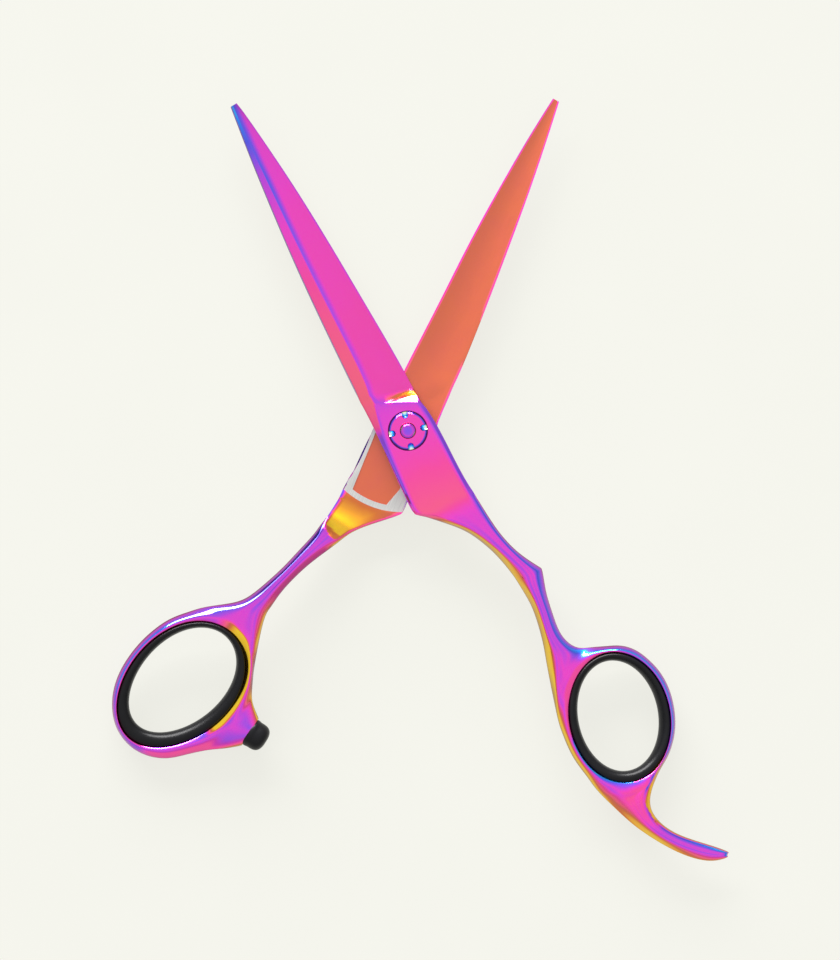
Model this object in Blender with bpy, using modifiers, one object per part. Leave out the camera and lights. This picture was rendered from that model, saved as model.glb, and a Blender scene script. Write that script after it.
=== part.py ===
"""Hairdressing shears with a tension dial, in metres, +Z up.

The shears lie flat with their blades open.  The origin is on the pivot's axis, on the flat
underside of the pivot stud's head, and the blade tips point to +Y.

Each half is designed in its own flat frame: Y runs along the closed blade to its tip, X runs
across from the spine to the cutting edge, and Z runs out from the plane where the two halves
meet, towards that half's outer face.  The finger half faces up.  The thumb half is turned over
about Y, so that it lies underneath, and both are then swung open about the pivot.
"""

import math

import bmesh
import bpy
from mathutils import Matrix, Vector

MM = 0.001

# Driving dimensions, in millimetres and degrees
FINGER_SWING = 27.7
THUMB_SWING = -24.2
MEETING_HEIGHT = 4.5
BODY_TOP = 3.2
RIDE_GAP = 0.1
EDGE_LAND = 0.14
SPINE_LEAN = 0.22
FACE_BULGE = 0.12

# Pivot hardware: radii, and heights above the plane where the halves meet
STUD_HEAD_RADIUS = 4.7
STUD_HEAD_THICKNESS = 1.2
STUD_SQUARE = 3.4
STUD_SHOULDER = -0.6
STUD_SHAFT_RADIUS = 1.7
STUD_END_RADIUS = 1.25
STUD_END_FOOT = 1.45
STUD_END_TOP = 3.75
STUD_DOME = 0.35
STUD_FLATS = 2.15
STUD_FLAT_FOOT = 1.5
STUD_EDGE = 0.45
NECK_TURNED_RADIUS = 2.38
NECK_RELIEF = 0.1
SQUARE_HOLE = 3.8
BUSH_INNER_RADIUS = 1.9
BUSH_OUTER_RADIUS = 2.6
BUSH_FOOT, BUSH_TOP = 0.55, 1.4
BORE_RADIUS = 2.75
WASHER_INNER_RADIUS = 1.95
WASHER_OUTER_RADIUS = 4.1
WASHER_FOOT, WASHER_TOP = 0.0, 0.32
WASHER_SEAT_RADIUS = 4.3
WASHER_SEAT_TOP = 0.45
DIAL_RADIUS = 3.65
DIAL_FOOT, DIAL_TOP = 2.35, 3.6
DIAL_BORE_RADIUS = 1.38
DIAL_EDGE = 0.45
DIAL_BORE_EDGE = 0.2
DIAL_POCKET_RADIUS = 3.85
DIAL_POCKET_FLOOR = 1.5
DIAL_NOTCHES = 4
DIAL_NOTCH_START = 35.0
NOTCH_RADIUS = 0.6
NOTCH_REACH = 2.98
NOTCH_DEPTH = 0.75
PLATE_RADIUS = 3.5
PLATE_TOOTH_DEPTH = 0.35
PLATE_CLEARANCE = 0.15
PLATE_FOOT, PLATE_TOP = 1.6, 1.9
PLATE_TEETH = 12
SPRING_INNER_RADIUS = 1.9
SPRING_OUTER_RADIUS = 3.3
SPRING_MIDDLE = 2.125
SPRING_THICKNESS = 0.14
SPRING_WAVE = 0.06
SPRING_WAVES = 3

# Finger rings: a flat oval hole in a tilted plane, and how wide the metal is all round it
RING_SECTORS = 24
RING_HALF_HEIGHT = 2.05
INSERT_GAP = 0.18
INSERT_SECTORS = 32

# The bumper plugs into a hole in the boss on the thumb ring
BUMPER_SEAT = (3.75, -64.9)
BUMPER_AXIS = (-0.99, -0.144)
BUMPER_SHIFT = 0.05
BUMPER_PROFILE = ((2.75, 0.0), (2.78, 0.4), (2.6, 0.9), (2.55, 1.6), (2.3, 2.5), (1.7, 3.1),
                  (0.9, 3.4))
BUMPER_STEM_RADIUS = 1.2
BUMPER_STEM_LENGTH = 2.6
STEM_HOLE_RADIUS = 1.4
STEM_HOLE_DEPTH = 3.0
STEM_HOLE_TOP = 1.5

# How firmly an edge of the forgings is held sharp as the surface between is smoothed
SOFT_EDGE = 0.35
FIRM_EDGE = 0.8
HARD_EDGE = 1.0
SHARP_ANGLE = 35.0

# Finger rings: heights as shares of the crest's height, and where across the wire the crest lies.
RING_RIM_SHARE = 0.8
RING_OUTER_SHARE = 0.35
RING_CREST_AT = 0.45
# Rubber insert's section, from its inner rim out: share of its width, share of its half height.
INSERT_PROFILE = ((0.0, 0.72), (0.14, 0.96), (0.45, 1.08), (0.8, 0.85), (1.0, 0.35))

# Where the sections of a half change from blade to scoop, to body, and to shank
SCOOP_FOOT = 8
FACET_FOOT = 9
BODY_START = 10
BODY_END = 15
SHANK_SMOOTH = 20

ROUND_SIDES = 48


class Ring:
    """The oval of a finger ring, with its rubber insert, in its half's flat frame."""

    def __init__(self, centre, long_radius, short_radius, turn, height, slope, downhill,
                 widths, clear_centre, clear_long, clear_short, egg=0.0):
        self.centre = Vector(centre)
        self.long_radius = long_radius
        self.short_radius = short_radius
        self.turn = math.radians(turn)
        self.height = height
        self.slope = slope
        self.downhill = Vector(downhill).normalized()
        self.widths = widths
        self.clear_centre = Vector(clear_centre)
        self.clear_long = clear_long
        self.clear_short = clear_short
        self.egg = egg

    def oval(self, angle, centre, long_radius, short_radius):
        along = Vector((math.cos(self.turn), math.sin(self.turn)))
        across = Vector((-along.y, along.x))
        blunt = 1 + self.egg * math.cos(angle)
        return (centre + long_radius * math.cos(angle) * along
                + short_radius * blunt * math.sin(angle) * across)

    def outward(self, angle):
        along = Vector((math.cos(self.turn), math.sin(self.turn)))
        across = Vector((-along.y, along.x))
        return (self.short_radius * math.cos(angle) * along
                + self.long_radius * math.sin(angle) * across).normalized()

    def hole(self, angle, grow=0.0):
        return (self.oval(angle, self.centre, self.long_radius, self.short_radius)
                + grow * self.outward(angle))

    def clear(self, angle):
        return self.oval(angle, self.clear_centre, self.clear_long, self.clear_short)

    def plane(self, point):
        """Height of the ring's tilted middle plane at a plan point."""
        return self.height - self.slope * (point - self.centre).dot(self.downhill)


FINGER_RING = Ring(
    centre=(10.35, -67.3), long_radius=12.5, short_radius=9.55, turn=74.0,
    height=-0.4, slope=0.14, downhill=(0.85, -0.53),
    widths=(1.3, 2.1, 2.4, 2.6, 2.6, 2.3, 1.75, 1.5, 1.5, 1.8, 2.8, 2.4,
            2.2, 1.6, 0.95, 0.8, 0.85, 0.95, 1.0, 1.1, 1.15, 1.15, 1.3, 1.3),
    clear_centre=(10.22, -66.88), clear_long=10.68, clear_short=7.62)

THUMB_RING = Ring(
    centre=(19.7, -62.2), long_radius=14.0, short_radius=9.9, turn=112.5,
    height=0.1, slope=0.15, downhill=(0.116, 0.99),
    widths=(2.6, 2.4, 1.8, 1.6, 2.4, 2.6, 2.6, 3.1, 2.3, 2.15, 1.8, 1.35,
            1.0, 0.9, 0.95, 1.1, 1.2, 1.2, 1.25, 1.4, 1.65, 1.95, 2.8, 2.8),
    clear_centre=(19.85, -61.3), clear_long=12.0, clear_short=7.9, egg=0.06)


def row(tops, bottoms):
    return {"tops": [Vector(p) for p in tops], "bottoms": [Vector(p) for p in bottoms]}


def across(left, right, fraction):
    return Vector(left).lerp(Vector(right), fraction)


def blade_row(left, right, ridge, spine, crest, hollow):
    """A blade's section: spine wall, bevel, ridge, and a face down to the cutting edge."""
    fractions = (SPINE_LEAN / (Vector(right) - Vector(left)).length, ridge,
                 ridge + (1 - ridge) / 3, ridge + (1 - ridge) * 2 / 3, 1.0)
    edge_top = RIDE_GAP + EDGE_LAND
    heights = [spine]
    for fraction in fractions[1:]:
        share = (fraction - ridge) / (1 - ridge)
        heights.append(crest + (edge_top - crest) * share + FACE_BULGE * crest * share * (1 - share))
    tops = [(*across(left, right, f), z) for f, z in zip(fractions, heights)]
    under = (0.3 * hollow, 0.8 * hollow, hollow, 0.7 * hollow, 0.0)
    places = (0.0, ridge, fractions[2], fractions[3], 1.0)
    bottoms = [(*across(left, right, f), RIDE_GAP + h) for f, h in zip(places, under)]
    return row(tops, bottoms)


def beam_row(left, right, shoulders, top, drops, bottom, rises, under=None, hollow=0.0):
    """A section with a flat or rounded top and underside, between two shoulders."""
    first, last = shoulders
    fractions = (0.0, first, (first + last) / 2, last, 1.0)
    heights = (top - drops[0], top, top, top, top - drops[1])
    first, last = under or shoulders
    places = (0.0, first, (first + last) / 2, last, 1.0)
    depths = (bottom + rises[0], bottom, bottom + hollow, bottom, bottom + rises[1])
    tops = [(*across(left, right, f), z) for f, z in zip(fractions, heights)]
    bottoms = [(*across(left, right, f), z) for f, z in zip(places, depths)]
    return row(tops, bottoms)


def heel_row(tops, hollow):
    """A section of the scoop where the blade's face rises to the body."""
    depths = (RIDE_GAP, RIDE_GAP + hollow, RIDE_GAP + hollow, RIDE_GAP + hollow, RIDE_GAP)
    return row(tops, [(*point[:2], z) for point, z in zip(tops, depths)])


FINGER_ROWS = (
    blade_row((-1.25, 70.5), (0.1, 70.6), 0.36, 0.7, 0.85, 0.05),
    blade_row((-1.62, 67.6), (0.62, 67.6), 0.30, 0.85, 1.05, 0.1),
    blade_row((-2.5, 60.0), (1.54, 60.0), 0.28, 1.05, 1.4, 0.25),
    blade_row((-3.45, 50.0), (2.54, 50.0), 0.28, 1.3, 1.8, 0.35),
    blade_row((-4.38, 38.0), (3.37, 38.0), 0.28, 1.55, 2.2, 0.45),
    blade_row((-5.0, 26.0), (3.98, 26.0), 0.285, 1.8, 2.6, 0.5),
    blade_row((-5.36, 16.0), (4.44, 16.0), 0.28, 2.0, 2.9, 0.5),
    blade_row((-5.5, 11.4), (4.6, 9.8), 0.25, 2.1, 3.08, 0.3),
    heel_row(((-5.5, 9.3, 2.15), (-3.4, 8.9, 3.12), (-0.9, 6.95, 2.85), (3.4, 6.85, 0.85),
              (4.65, 6.35, 0.3)), 0.24),
    heel_row(((-5.48, 8.2, 2.18), (-3.4, 7.9, 3.17), (-0.6, 6.5, 3.04), (3.7, 5.75, 2.1),
              (4.76, 5.25, 1.9)), 0.24),
    heel_row(((-5.47, 7.0, 2.2), (-3.38, 6.9, 3.2), (-0.35, 6.1, 3.2), (4.0, 4.0, 3.2),
              (4.8, 3.6, 2.85)), 0.22),
    beam_row((-5.55, 3.0), (5.25, 0.6), (0.115, 0.93), 3.2, (0.75, 0.5), 0.1, (0, 0), hollow=0.2),
    beam_row((-5.85, -3.4), (5.4, -4.5), (0.065, 0.93), 3.2, (0.65, 0.55), 0.1, (0, 0)),
    beam_row((-6.2, -10.5), (5.33, -10.5), (0.055, 0.93), 3.2, (0.6, 0.55), 0.1, (0, 0)),
    beam_row((-6.24, -14.66), (5.5, -15.0), (0.06, 0.92), 3.2, (0.65, 0.6), 0.12, (0, 0)),
    beam_row((-4.5, -16.25), (5.62, -17.2), (0.12, 0.89), 3.15, (1.0, 0.7), 0.35, (0, 0)),
    beam_row((-1.76, -19.0), (5.8, -20.2), (0.16, 0.87), 3.1, (1.4, 0.8), 0.35, (0.0, 0.0)),
    beam_row((0.82, -22.0), (6.1, -23.4), (0.2, 0.84), 3.0, (1.6, 0.9), -0.5, (0.4, 0.4)),
    beam_row((2.6, -25.2), (6.62, -26.5), (0.24, 0.81), 2.9, (1.8, 1.0), -1.7, (1.0, 0.9)),
    beam_row((4.1, -29.2), (7.9, -30.6), (0.27, 0.78), 2.8, (1.9, 1.1), -1.9, (1.3, 1.2)),
    beam_row((5.1, -33.6), (10.2, -35.1), (0.26, 0.74), 2.75, (1.9, 1.4), -1.7, (1.3, 1.4)),
    beam_row((5.32, -36.0), (9.75, -36.8), (0.26, 0.74), 2.75, (1.9, 1.4), -1.6, (1.3, 1.3)),
    beam_row((5.46, -39.0), (8.85, -39.8), (0.27, 0.74), 2.8, (1.9, 1.4), -1.4, (1.2, 1.3)),
    beam_row((5.2, -42.7), (8.15, -43.6), (0.27, 0.74), 3.0, (1.8, 1.4), -1.2, (1.2, 1.3)),
    beam_row((4.2, -47.6), (7.72, -48.0), (0.27, 0.74), 3.2, (1.8, 1.3), -1.0, (1.1, 1.3)),
    beam_row((2.88, -52.0), (8.95, -51.4), (0.24, 0.78), 3.3, (1.9, 1.4), -0.8, (1.1, 1.3)),
)
FINGER_JOIN = (5, 4, 3, 2, 1)

TANG_JOIN = (10, 11, 12, 13, 14)
TANG_ROWS = (
    beam_row((1.8, -82.3), (8.95, -82.6), (0.25, 0.75), 1.1, (1.5, 0.9), -2.2, (1.2, 1.2)),
    beam_row((3.5, -87.0), (7.35, -86.2), (0.3, 0.72), 1.3, (1.5, 0.8), -1.9, (1.2, 1.1)),
    beam_row((6.1, -91.9), (8.7, -90.7), (0.3, 0.72), 1.35, (1.2, 0.7), -1.5, (1.1, 0.9)),
    beam_row((9.2, -96.2), (11.7, -94.5), (0.3, 0.72), 1.2, (1.0, 0.6), -1.2, (0.9, 0.7)),
    beam_row((12.9, -99.45), (14.5, -97.3), (0.3, 0.72), 1.0, (0.7, 0.5), -1.0, (0.6, 0.5)),
    beam_row((15.7, -100.45), (16.5, -99.4), (0.3, 0.72), 0.6, (0.3, 0.3), -0.7, (0.3, 0.3)),
)

THUMB_ROWS = (
    blade_row((-0.55, 69.2), (0.72, 69.3), 0.36, 0.7, 0.85, 0.05),
    blade_row((-0.76, 67.6), (1.0, 67.6), 0.30, 0.85, 1.05, 0.1),
    blade_row((-1.6, 60.0), (2.0, 60.0), 0.28, 1.05, 1.4, 0.25),
    blade_row((-2.52, 50.0), (3.03, 50.0), 0.28, 1.3, 1.8, 0.35),
    blade_row((-3.34, 38.0), (3.98, 38.0), 0.28, 1.55, 2.2, 0.45),
    blade_row((-4.02, 26.0), (4.54, 26.0), 0.285, 1.8, 2.6, 0.5),
    blade_row((-4.42, 16.0), (5.05, 16.0), 0.28, 2.0, 2.9, 0.5),
    blade_row((-4.42, 11.4), (5.35, 9.8), 0.25, 2.1, 3.08, 0.3),
    heel_row(((-4.44, 9.3, 2.15), (-2.3, 8.9, 3.12), (0.1, 6.95, 2.85), (4.2, 6.85, 0.85),
              (5.4, 6.35, 0.3)), 0.24),
    heel_row(((-4.45, 8.2, 2.18), (-2.3, 7.9, 3.17), (0.4, 6.5, 3.04), (4.45, 5.75, 2.1),
              (5.46, 5.25, 1.9)), 0.24),
    heel_row(((-4.48, 7.0, 2.2), (-2.35, 6.9, 3.2), (0.65, 6.1, 3.2), (4.75, 4.0, 3.2),
              (5.54, 3.6, 2.85)), 0.22),
    beam_row((-4.6, 3.0), (5.75, 0.6), (0.115, 0.93), 3.2, (0.75, 0.5), 0.1, (0, 0.2),
             (0.05, 0.97), 0.2),
    beam_row((-4.85, -4.5), (6.25, -4.5), (0.085, 0.93), 3.2, (0.65, 0.6), 0.1, (0, 0.2),
             (0.05, 0.98)),
    beam_row((-5.1, -10.5), (6.35, -10.5), (0.07, 0.92), 3.2, (0.6, 0.6), 0.1, (0, 0.25),
             (0.05, 0.98)),
    beam_row((-5.35, -14.75), (6.45, -14.6), (0.08, 0.92), 3.2, (0.65, 0.6), 0.1, (0, 0.22),
             (0.05, 0.98)),
    beam_row((-4.25, -16.1), (6.55, -16.2), (0.15, 0.9), 3.15, (1.0, 0.7), 0.1, (0.1, 0.14),
             (0.12, 0.965)),
    beam_row((-0.9, -19.1), (6.93, -18.8), (0.20, 0.86), 3.0, (1.3, 0.8), 0.42, (0.2, 0.12),
             (0.14, 0.95)),
    beam_row((1.9, -22.0), (7.35, -21.4), (0.25, 0.82), 2.6, (1.4, 0.9), -0.35, (0.3, 0.3),
             (0.22, 0.93)),
    beam_row((3.4, -24.5), (7.8, -23.4), (0.27, 0.8), 2.3, (1.4, 0.9), -1.75, (0.7, 0.8)),
    beam_row((4.75, -27.0), (8.3, -25.7), (0.28, 0.76), 2.0, (1.3, 1.0), -2.25, (1.2, 1.2)),
    beam_row((6.85, -30.9), (9.6, -29.6), (0.3, 0.74), 1.5, (1.3, 1.2), -2.7, (1.4, 1.4)),
    beam_row((8.5, -34.8), (11.0, -33.6), (0.3, 0.74), 1.0, (1.3, 1.2), -3.2, (1.4, 1.4)),
    beam_row((9.65, -38.4), (12.7, -37.6), (0.3, 0.74), 0.5, (1.3, 1.2), -3.8, (1.4, 1.4)),
    beam_row((10.25, -41.4), (14.25, -40.7), (0.28, 0.76), 0.1, (1.3, 1.2), -4.3, (1.4, 1.4)),
    beam_row((10.35, -44.8), (16.5, -43.4), (0.24, 0.78), -0.2, (1.3, 1.3), -4.5, (1.3, 1.3)),
)
THUMB_JOIN = (2, 1, 0, 23, 22)

BOSS_JOIN = (4, 5, 6, 7)
BOSS_ROWS = (
    {"left": (5.0, -60.9), "right": (6.7, -69.2), "half_height": 2.2},
    {"left": (3.55, -62.1), "right": (4.35, -67.7), "half_height": 2.35},
)


def clear_scene():
    for thing in list(bpy.data.objects):
        bpy.data.objects.remove(thing, do_unlink=True)


def new_collection(name):
    group = bpy.data.collections.new(name)
    bpy.context.scene.collection.children.link(group)
    return group


def finish_material(name, colour, roughness, metallic):
    material = bpy.data.materials.new(name)
    material.use_nodes = True
    shader = material.node_tree.nodes["Principled BSDF"]
    shader.inputs["Base Color"].default_value = (*colour, 1.0)
    shader.inputs["Roughness"].default_value = roughness
    shader.inputs["Metallic"].default_value = metallic
    return material


def object_from(bm, name, group, material=None):
    """Closes off a mesh under construction as a named object, with its faces pointing out."""
    bmesh.ops.recalc_face_normals(bm, faces=bm.faces)
    mesh = bpy.data.meshes.new(name)
    bm.to_mesh(mesh)
    bm.free()
    thing = bpy.data.objects.new(name, mesh)
    group.objects.link(thing)
    if material:
        mesh.materials.append(material)
    return thing


def add_points(bm, points):
    return [bm.verts.new(point * MM) for point in points]


def add_row(bm, section):
    return {side: add_points(bm, section[side]) for side in ("tops", "bottoms")}


def bridge_rows(bm, upper, lower):
    """Joins two neighbouring sections along top, underside and both side walls."""
    last = len(upper["tops"]) - 1
    for i in range(last):
        bm.faces.new((upper["tops"][i], lower["tops"][i],
                      lower["tops"][i + 1], upper["tops"][i + 1]))
        bm.faces.new((upper["bottoms"][i], upper["bottoms"][i + 1],
                      lower["bottoms"][i + 1], lower["bottoms"][i]))
    bm.faces.new((upper["tops"][0], upper["bottoms"][0],
                  lower["bottoms"][0], lower["tops"][0]))
    bm.faces.new((upper["tops"][last], lower["tops"][last],
                  lower["bottoms"][last], upper["bottoms"][last]))


def cap_row(bm, section):
    for i in range(len(section["tops"]) - 1):
        bm.faces.new((section["tops"][i], section["tops"][i + 1],
                      section["bottoms"][i + 1], section["bottoms"][i]))


def add_strip(bm, rows):
    for upper, lower in zip(rows, rows[1:]):
        bridge_rows(bm, upper, lower)


def ring_section(ring, sector, web):
    """Inner rim, crest and outer edge of one sector, as plan points with heights."""
    angle = 2 * math.pi * sector / RING_SECTORS
    width = ring.widths[sector]
    crest_height = RING_HALF_HEIGHT
    outer_height = crest_height if web else RING_OUTER_SHARE * crest_height
    section = {}
    for name, grow, height in (("rim", 0.0, RING_RIM_SHARE * crest_height),
                               ("crest", RING_CREST_AT * width, crest_height),
                               ("outer", width, outer_height)):
        plan = ring.hole(angle, grow)
        middle = ring.plane(plan)
        section[name] = (Vector((*plan, middle + height)), Vector((*plan, middle - height)))
    return section


def add_ring(bm, ring, joins):
    """Builds a finger ring, left open on its outer wall where each strip joins it."""
    webs = {sector for join in joins for sector in join[1:-1]}
    sectors = []
    for sector in range(RING_SECTORS):
        section = ring_section(ring, sector, sector in webs)
        sectors.append({name: add_points(bm, pair) for name, pair in section.items()})
    open_walls = set()
    for join in joins:
        for a, b in zip(join, join[1:]):
            open_walls.add(frozenset((a, b)))
    for k in range(RING_SECTORS):
        here, after = sectors[k], sectors[(k + 1) % RING_SECTORS]
        for side in (0, 1):
            for inner, outer in (("rim", "crest"), ("crest", "outer")):
                bm.faces.new((here[inner][side], here[outer][side],
                              after[outer][side], after[inner][side]))
        bm.faces.new((here["rim"][0], after["rim"][0], after["rim"][1], here["rim"][1]))
        if frozenset((k, (k + 1) % RING_SECTORS)) not in open_walls:
            bm.faces.new((here["outer"][0], here["outer"][1],
                          after["outer"][1], after["outer"][0]))
    return sectors


def row_of_ring(sectors, join):
    return {"tops": [sectors[k]["outer"][0] for k in join],
            "bottoms": [sectors[k]["outer"][1] for k in join]}


def crease(bm, chain, value):
    layer = bm.edges.layers.float.get("crease_edge") or bm.edges.layers.float.new("crease_edge")
    for a, b in zip(chain, chain[1:]):
        bm.edges.get((a, b))[layer] = value


def crease_half(bm, rows, sectors, peak):
    """Sharpens the blade's edges, the body's bevels, its corners and the rings' rims."""
    crease(bm, [r["tops"][1] for r in rows[:BODY_END + 2]], FIRM_EDGE)
    crease(bm, [r["tops"][1] for r in rows[BODY_END + 1:]], SOFT_EDGE)
    crease(bm, [r["tops"][3] for r in rows[BODY_START:BODY_END + 1]], FIRM_EDGE)
    crease(bm, [r["tops"][3] for r in rows[BODY_END:SHANK_SMOOTH + 1]], SOFT_EDGE)
    for side in (0, 4):
        crease(bm, [r["tops"][side] for r in rows[:BODY_END + 1]], HARD_EDGE)
        crease(bm, [r["bottoms"][side] for r in rows[:BODY_END + 2]], HARD_EDGE)
    crease(bm, [r["bottoms"][3] for r in rows[BODY_START + 1:BODY_END]], HARD_EDGE)
    for place in (SCOOP_FOOT, FACET_FOOT):
        crease(bm, rows[place]["tops"][2:], FIRM_EDGE)
    crease(bm, rows[BODY_START]["tops"][1:], HARD_EDGE)
    for place, column in ((0, 0), (0, 4), (BODY_END - 1, 0)):
        crease(bm, [rows[place]["tops"][column], rows[place]["bottoms"][column]], HARD_EDGE)
    if peak:
        tops, bottoms = rows[peak]["tops"], rows[peak]["bottoms"]
        crease(bm, [tops[3], tops[4], bottoms[4], bottoms[3]], FIRM_EDGE)
    for side in ("tops", "bottoms"):
        crease(bm, rows[0][side], HARD_EDGE)
    for side in (0, 1):
        loop = [s["rim"][side] for s in sectors]
        crease(bm, loop + loop[:1], FIRM_EDGE)


def settle_on_points(half, rounds=8):
    """Shifts the cage until its smooth surface passes through the points it was given."""
    goals = [vertex.co.copy() for vertex in half.data.vertices]
    for _ in range(rounds):
        bpy.context.view_layer.update()
        evaluated = half.evaluated_get(bpy.context.evaluated_depsgraph_get())
        smooth = evaluated.to_mesh()
        moves = [goal - smooth.vertices[i].co for i, goal in enumerate(goals)]
        evaluated.to_mesh_clear()
        for vertex, move in zip(half.data.vertices, moves):
            vertex.co += move
        half.data.update()


def forged_half(name, rows, ring, join, side_join, side_rows, group, material,
                flat_end=False, peak=None):
    """Blade, body, shank, ring and the ring's tang or boss, as one forging."""
    bm = bmesh.new()
    sections = [add_row(bm, section) for section in rows]
    sectors = add_ring(bm, ring, (join, side_join))
    cap_row(bm, sections[0])
    add_strip(bm, [*sections, row_of_ring(sectors, join)])
    branch = [add_row(bm, section) for section in side_rows]
    add_strip(bm, [row_of_ring(sectors, side_join), *branch])
    cap_row(bm, branch[-1])
    if flat_end:
        end = branch[-1]
        loop = [*end["tops"], *reversed(end["bottoms"]), end["tops"][0]]
        crease(bm, loop, HARD_EDGE)
    crease_half(bm, sections, sectors, peak)
    half = object_from(bm, name, group, material)
    smooth = half.modifiers.new("smooth surface", "SUBSURF")
    smooth.levels = 1
    smooth.render_levels = 1
    settle_on_points(half)
    return half


def boss_row(left, right, half_height):
    """A rounded section of the boss that carries the bumper, four points wide."""
    fractions = (0.0, 0.33, 0.67, 1.0)
    shares = (0.45, 1.0, 1.0, 0.45)
    tops, bottoms = [], []
    for fraction, share in zip(fractions, shares):
        plan = across(left, right, fraction)
        middle = THUMB_RING.plane(plan)
        tops.append((*plan, middle + share * half_height))
        bottoms.append((*plan, middle - share * half_height))
    return row(tops, bottoms)


def turned(name, profile, group, material=None, sides=ROUND_SIDES):
    """A solid of revolution about Z, from (radius, height) points going up its outside."""
    bm = bmesh.new()
    loops = []
    for radius, height in profile:
        loop = []
        for k in range(sides):
            angle = 2 * math.pi * k / sides
            loop.append(bm.verts.new(Vector((radius * math.cos(angle),
                                             radius * math.sin(angle), height)) * MM))
        loops.append(loop)
    closed = profile[0] == profile[-1]
    for lower, upper in zip(loops, loops[1:]):
        for k in range(sides):
            n = (k + 1) % sides
            bm.faces.new((lower[k], lower[n], upper[n], upper[k]))
    if closed:
        bmesh.ops.remove_doubles(bm, verts=bm.verts, dist=1e-6)
    else:
        bm.faces.new(loops[0])
        bm.faces.new(loops[-1])
    return object_from(bm, name, group, material)


def block(name, size, centre, group, turn=0.0):
    bm = bmesh.new()
    bmesh.ops.create_cube(bm, size=1.0)
    bmesh.ops.scale(bm, vec=Vector(size) * MM, verts=bm.verts)
    bmesh.ops.rotate(bm, matrix=Matrix.Rotation(turn, 3, "Z"), verts=bm.verts)
    bmesh.ops.translate(bm, vec=Vector(centre) * MM, verts=bm.verts)
    return object_from(bm, name, group)


def drum(name, radius, foot, top, group):
    return turned(name, ((radius, foot), (radius, top)), group)


def cut(thing, cutter, operation="DIFFERENCE"):
    modifier = thing.modifiers.new(cutter.name, "BOOLEAN")
    modifier.operation = operation
    modifier.object = cutter


def hide_cutters(group):
    for cutter in group.objects:
        cutter.hide_render = True
        cutter.display_type = "WIRE"


def insert_ring(name, ring, group, material):
    """A rubber liner with a rounded face on both sides, thinner where the hole is off centre."""
    full = [*INSERT_PROFILE, *((f, -z) for f, z in reversed(INSERT_PROFILE))]
    bm = bmesh.new()
    loops = []
    for k in range(INSERT_SECTORS):
        angle = 2 * math.pi * k / INSERT_SECTORS
        outside, inside = ring.hole(angle, -INSERT_GAP), ring.clear(angle)
        loop = []
        for fraction, height in full:
            plan = outside.lerp(inside, fraction)
            middle = ring.plane(plan)
            loop.append(Vector((*plan, middle + height * RING_HALF_HEIGHT)))
        loops.append(add_points(bm, loop))
    for here, after in zip(loops, loops[1:] + loops[:1]):
        for i in range(len(full)):
            n = (i + 1) % len(full)
            bm.faces.new((here[i], here[n], after[n], after[i]))
    return object_from(bm, name, group, material)


def bumper(name, group, material):
    """The rubber silencer: a flared dome on a stem that plugs into the boss."""
    stem = ((BUMPER_STEM_RADIUS, -BUMPER_STEM_LENGTH), (BUMPER_STEM_RADIUS, 0.0))
    thing = turned(name, (*stem, *BUMPER_PROFILE), group, material, sides=28)
    place_along(thing, Vector(BUMPER_SEAT), BUMPER_AXIS)
    return thing


def place_along(thing, seat, axis, shift=BUMPER_SHIFT):
    """Turns a piece made along Z to lie along a plan direction, its foot at the seat."""
    direction = Vector((*axis, 0.0)).normalized()
    foot = Vector((*seat, THUMB_RING.plane(seat))) + shift * direction
    turn = direction.to_track_quat("Z", "Y").to_matrix().to_4x4()
    thing.data.transform(Matrix.Translation(foot * MM) @ turn)


def pivot_stud(group, cutters, material):
    """Flat head underneath, square neck in the thumb half, round shaft and domed end."""
    head_foot = -MEETING_HEIGHT
    head_top = head_foot + STUD_HEAD_THICKNESS
    dome = [(STUD_END_RADIUS * math.cos(a), STUD_END_TOP + STUD_DOME * math.sin(a))
            for a in (math.radians(d) for d in (0, 20, 40, 60, 80))]
    profile = ((STUD_HEAD_RADIUS - STUD_EDGE, head_foot),
               (STUD_HEAD_RADIUS, head_foot + STUD_EDGE), (STUD_HEAD_RADIUS, head_top),
               (NECK_TURNED_RADIUS, head_top), (NECK_TURNED_RADIUS, STUD_SHOULDER),
               (STUD_SHAFT_RADIUS, STUD_SHOULDER), (STUD_SHAFT_RADIUS, STUD_END_FOOT),
               (STUD_END_RADIUS, STUD_END_FOOT), *dome)
    stud = turned("pivot_stud", profile, group, material)
    flat_width = 2.0
    neck_height = STUD_SHOULDER - head_top + NECK_RELIEF
    for k in range(4):
        angle = math.pi / 2 * k
        reach = (STUD_SQUARE + flat_width) / 2
        centre = (reach * math.cos(angle), reach * math.sin(angle), head_top + neck_height / 2)
        size = (flat_width, 3 * flat_width, neck_height)
        cut(stud, block(f"neck_flat_{k}", size, centre, cutters, angle))
    end_height = DIAL_FOOT - STUD_FLAT_FOOT
    for side in (-1, 1):
        centre = (side * (STUD_FLATS + flat_width) / 2, 0, STUD_FLAT_FOOT + end_height / 2)
        cut(stud, block(f"end_flat_{side}", (flat_width, 4.0, end_height), centre, cutters))
    return stud


def washer(name, inner, outer, foot, top, group, material):
    profile = ((inner, foot), (outer, foot), (outer, top), (inner, top), (inner, foot))
    return turned(name, profile, group, material, sides=40)


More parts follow.
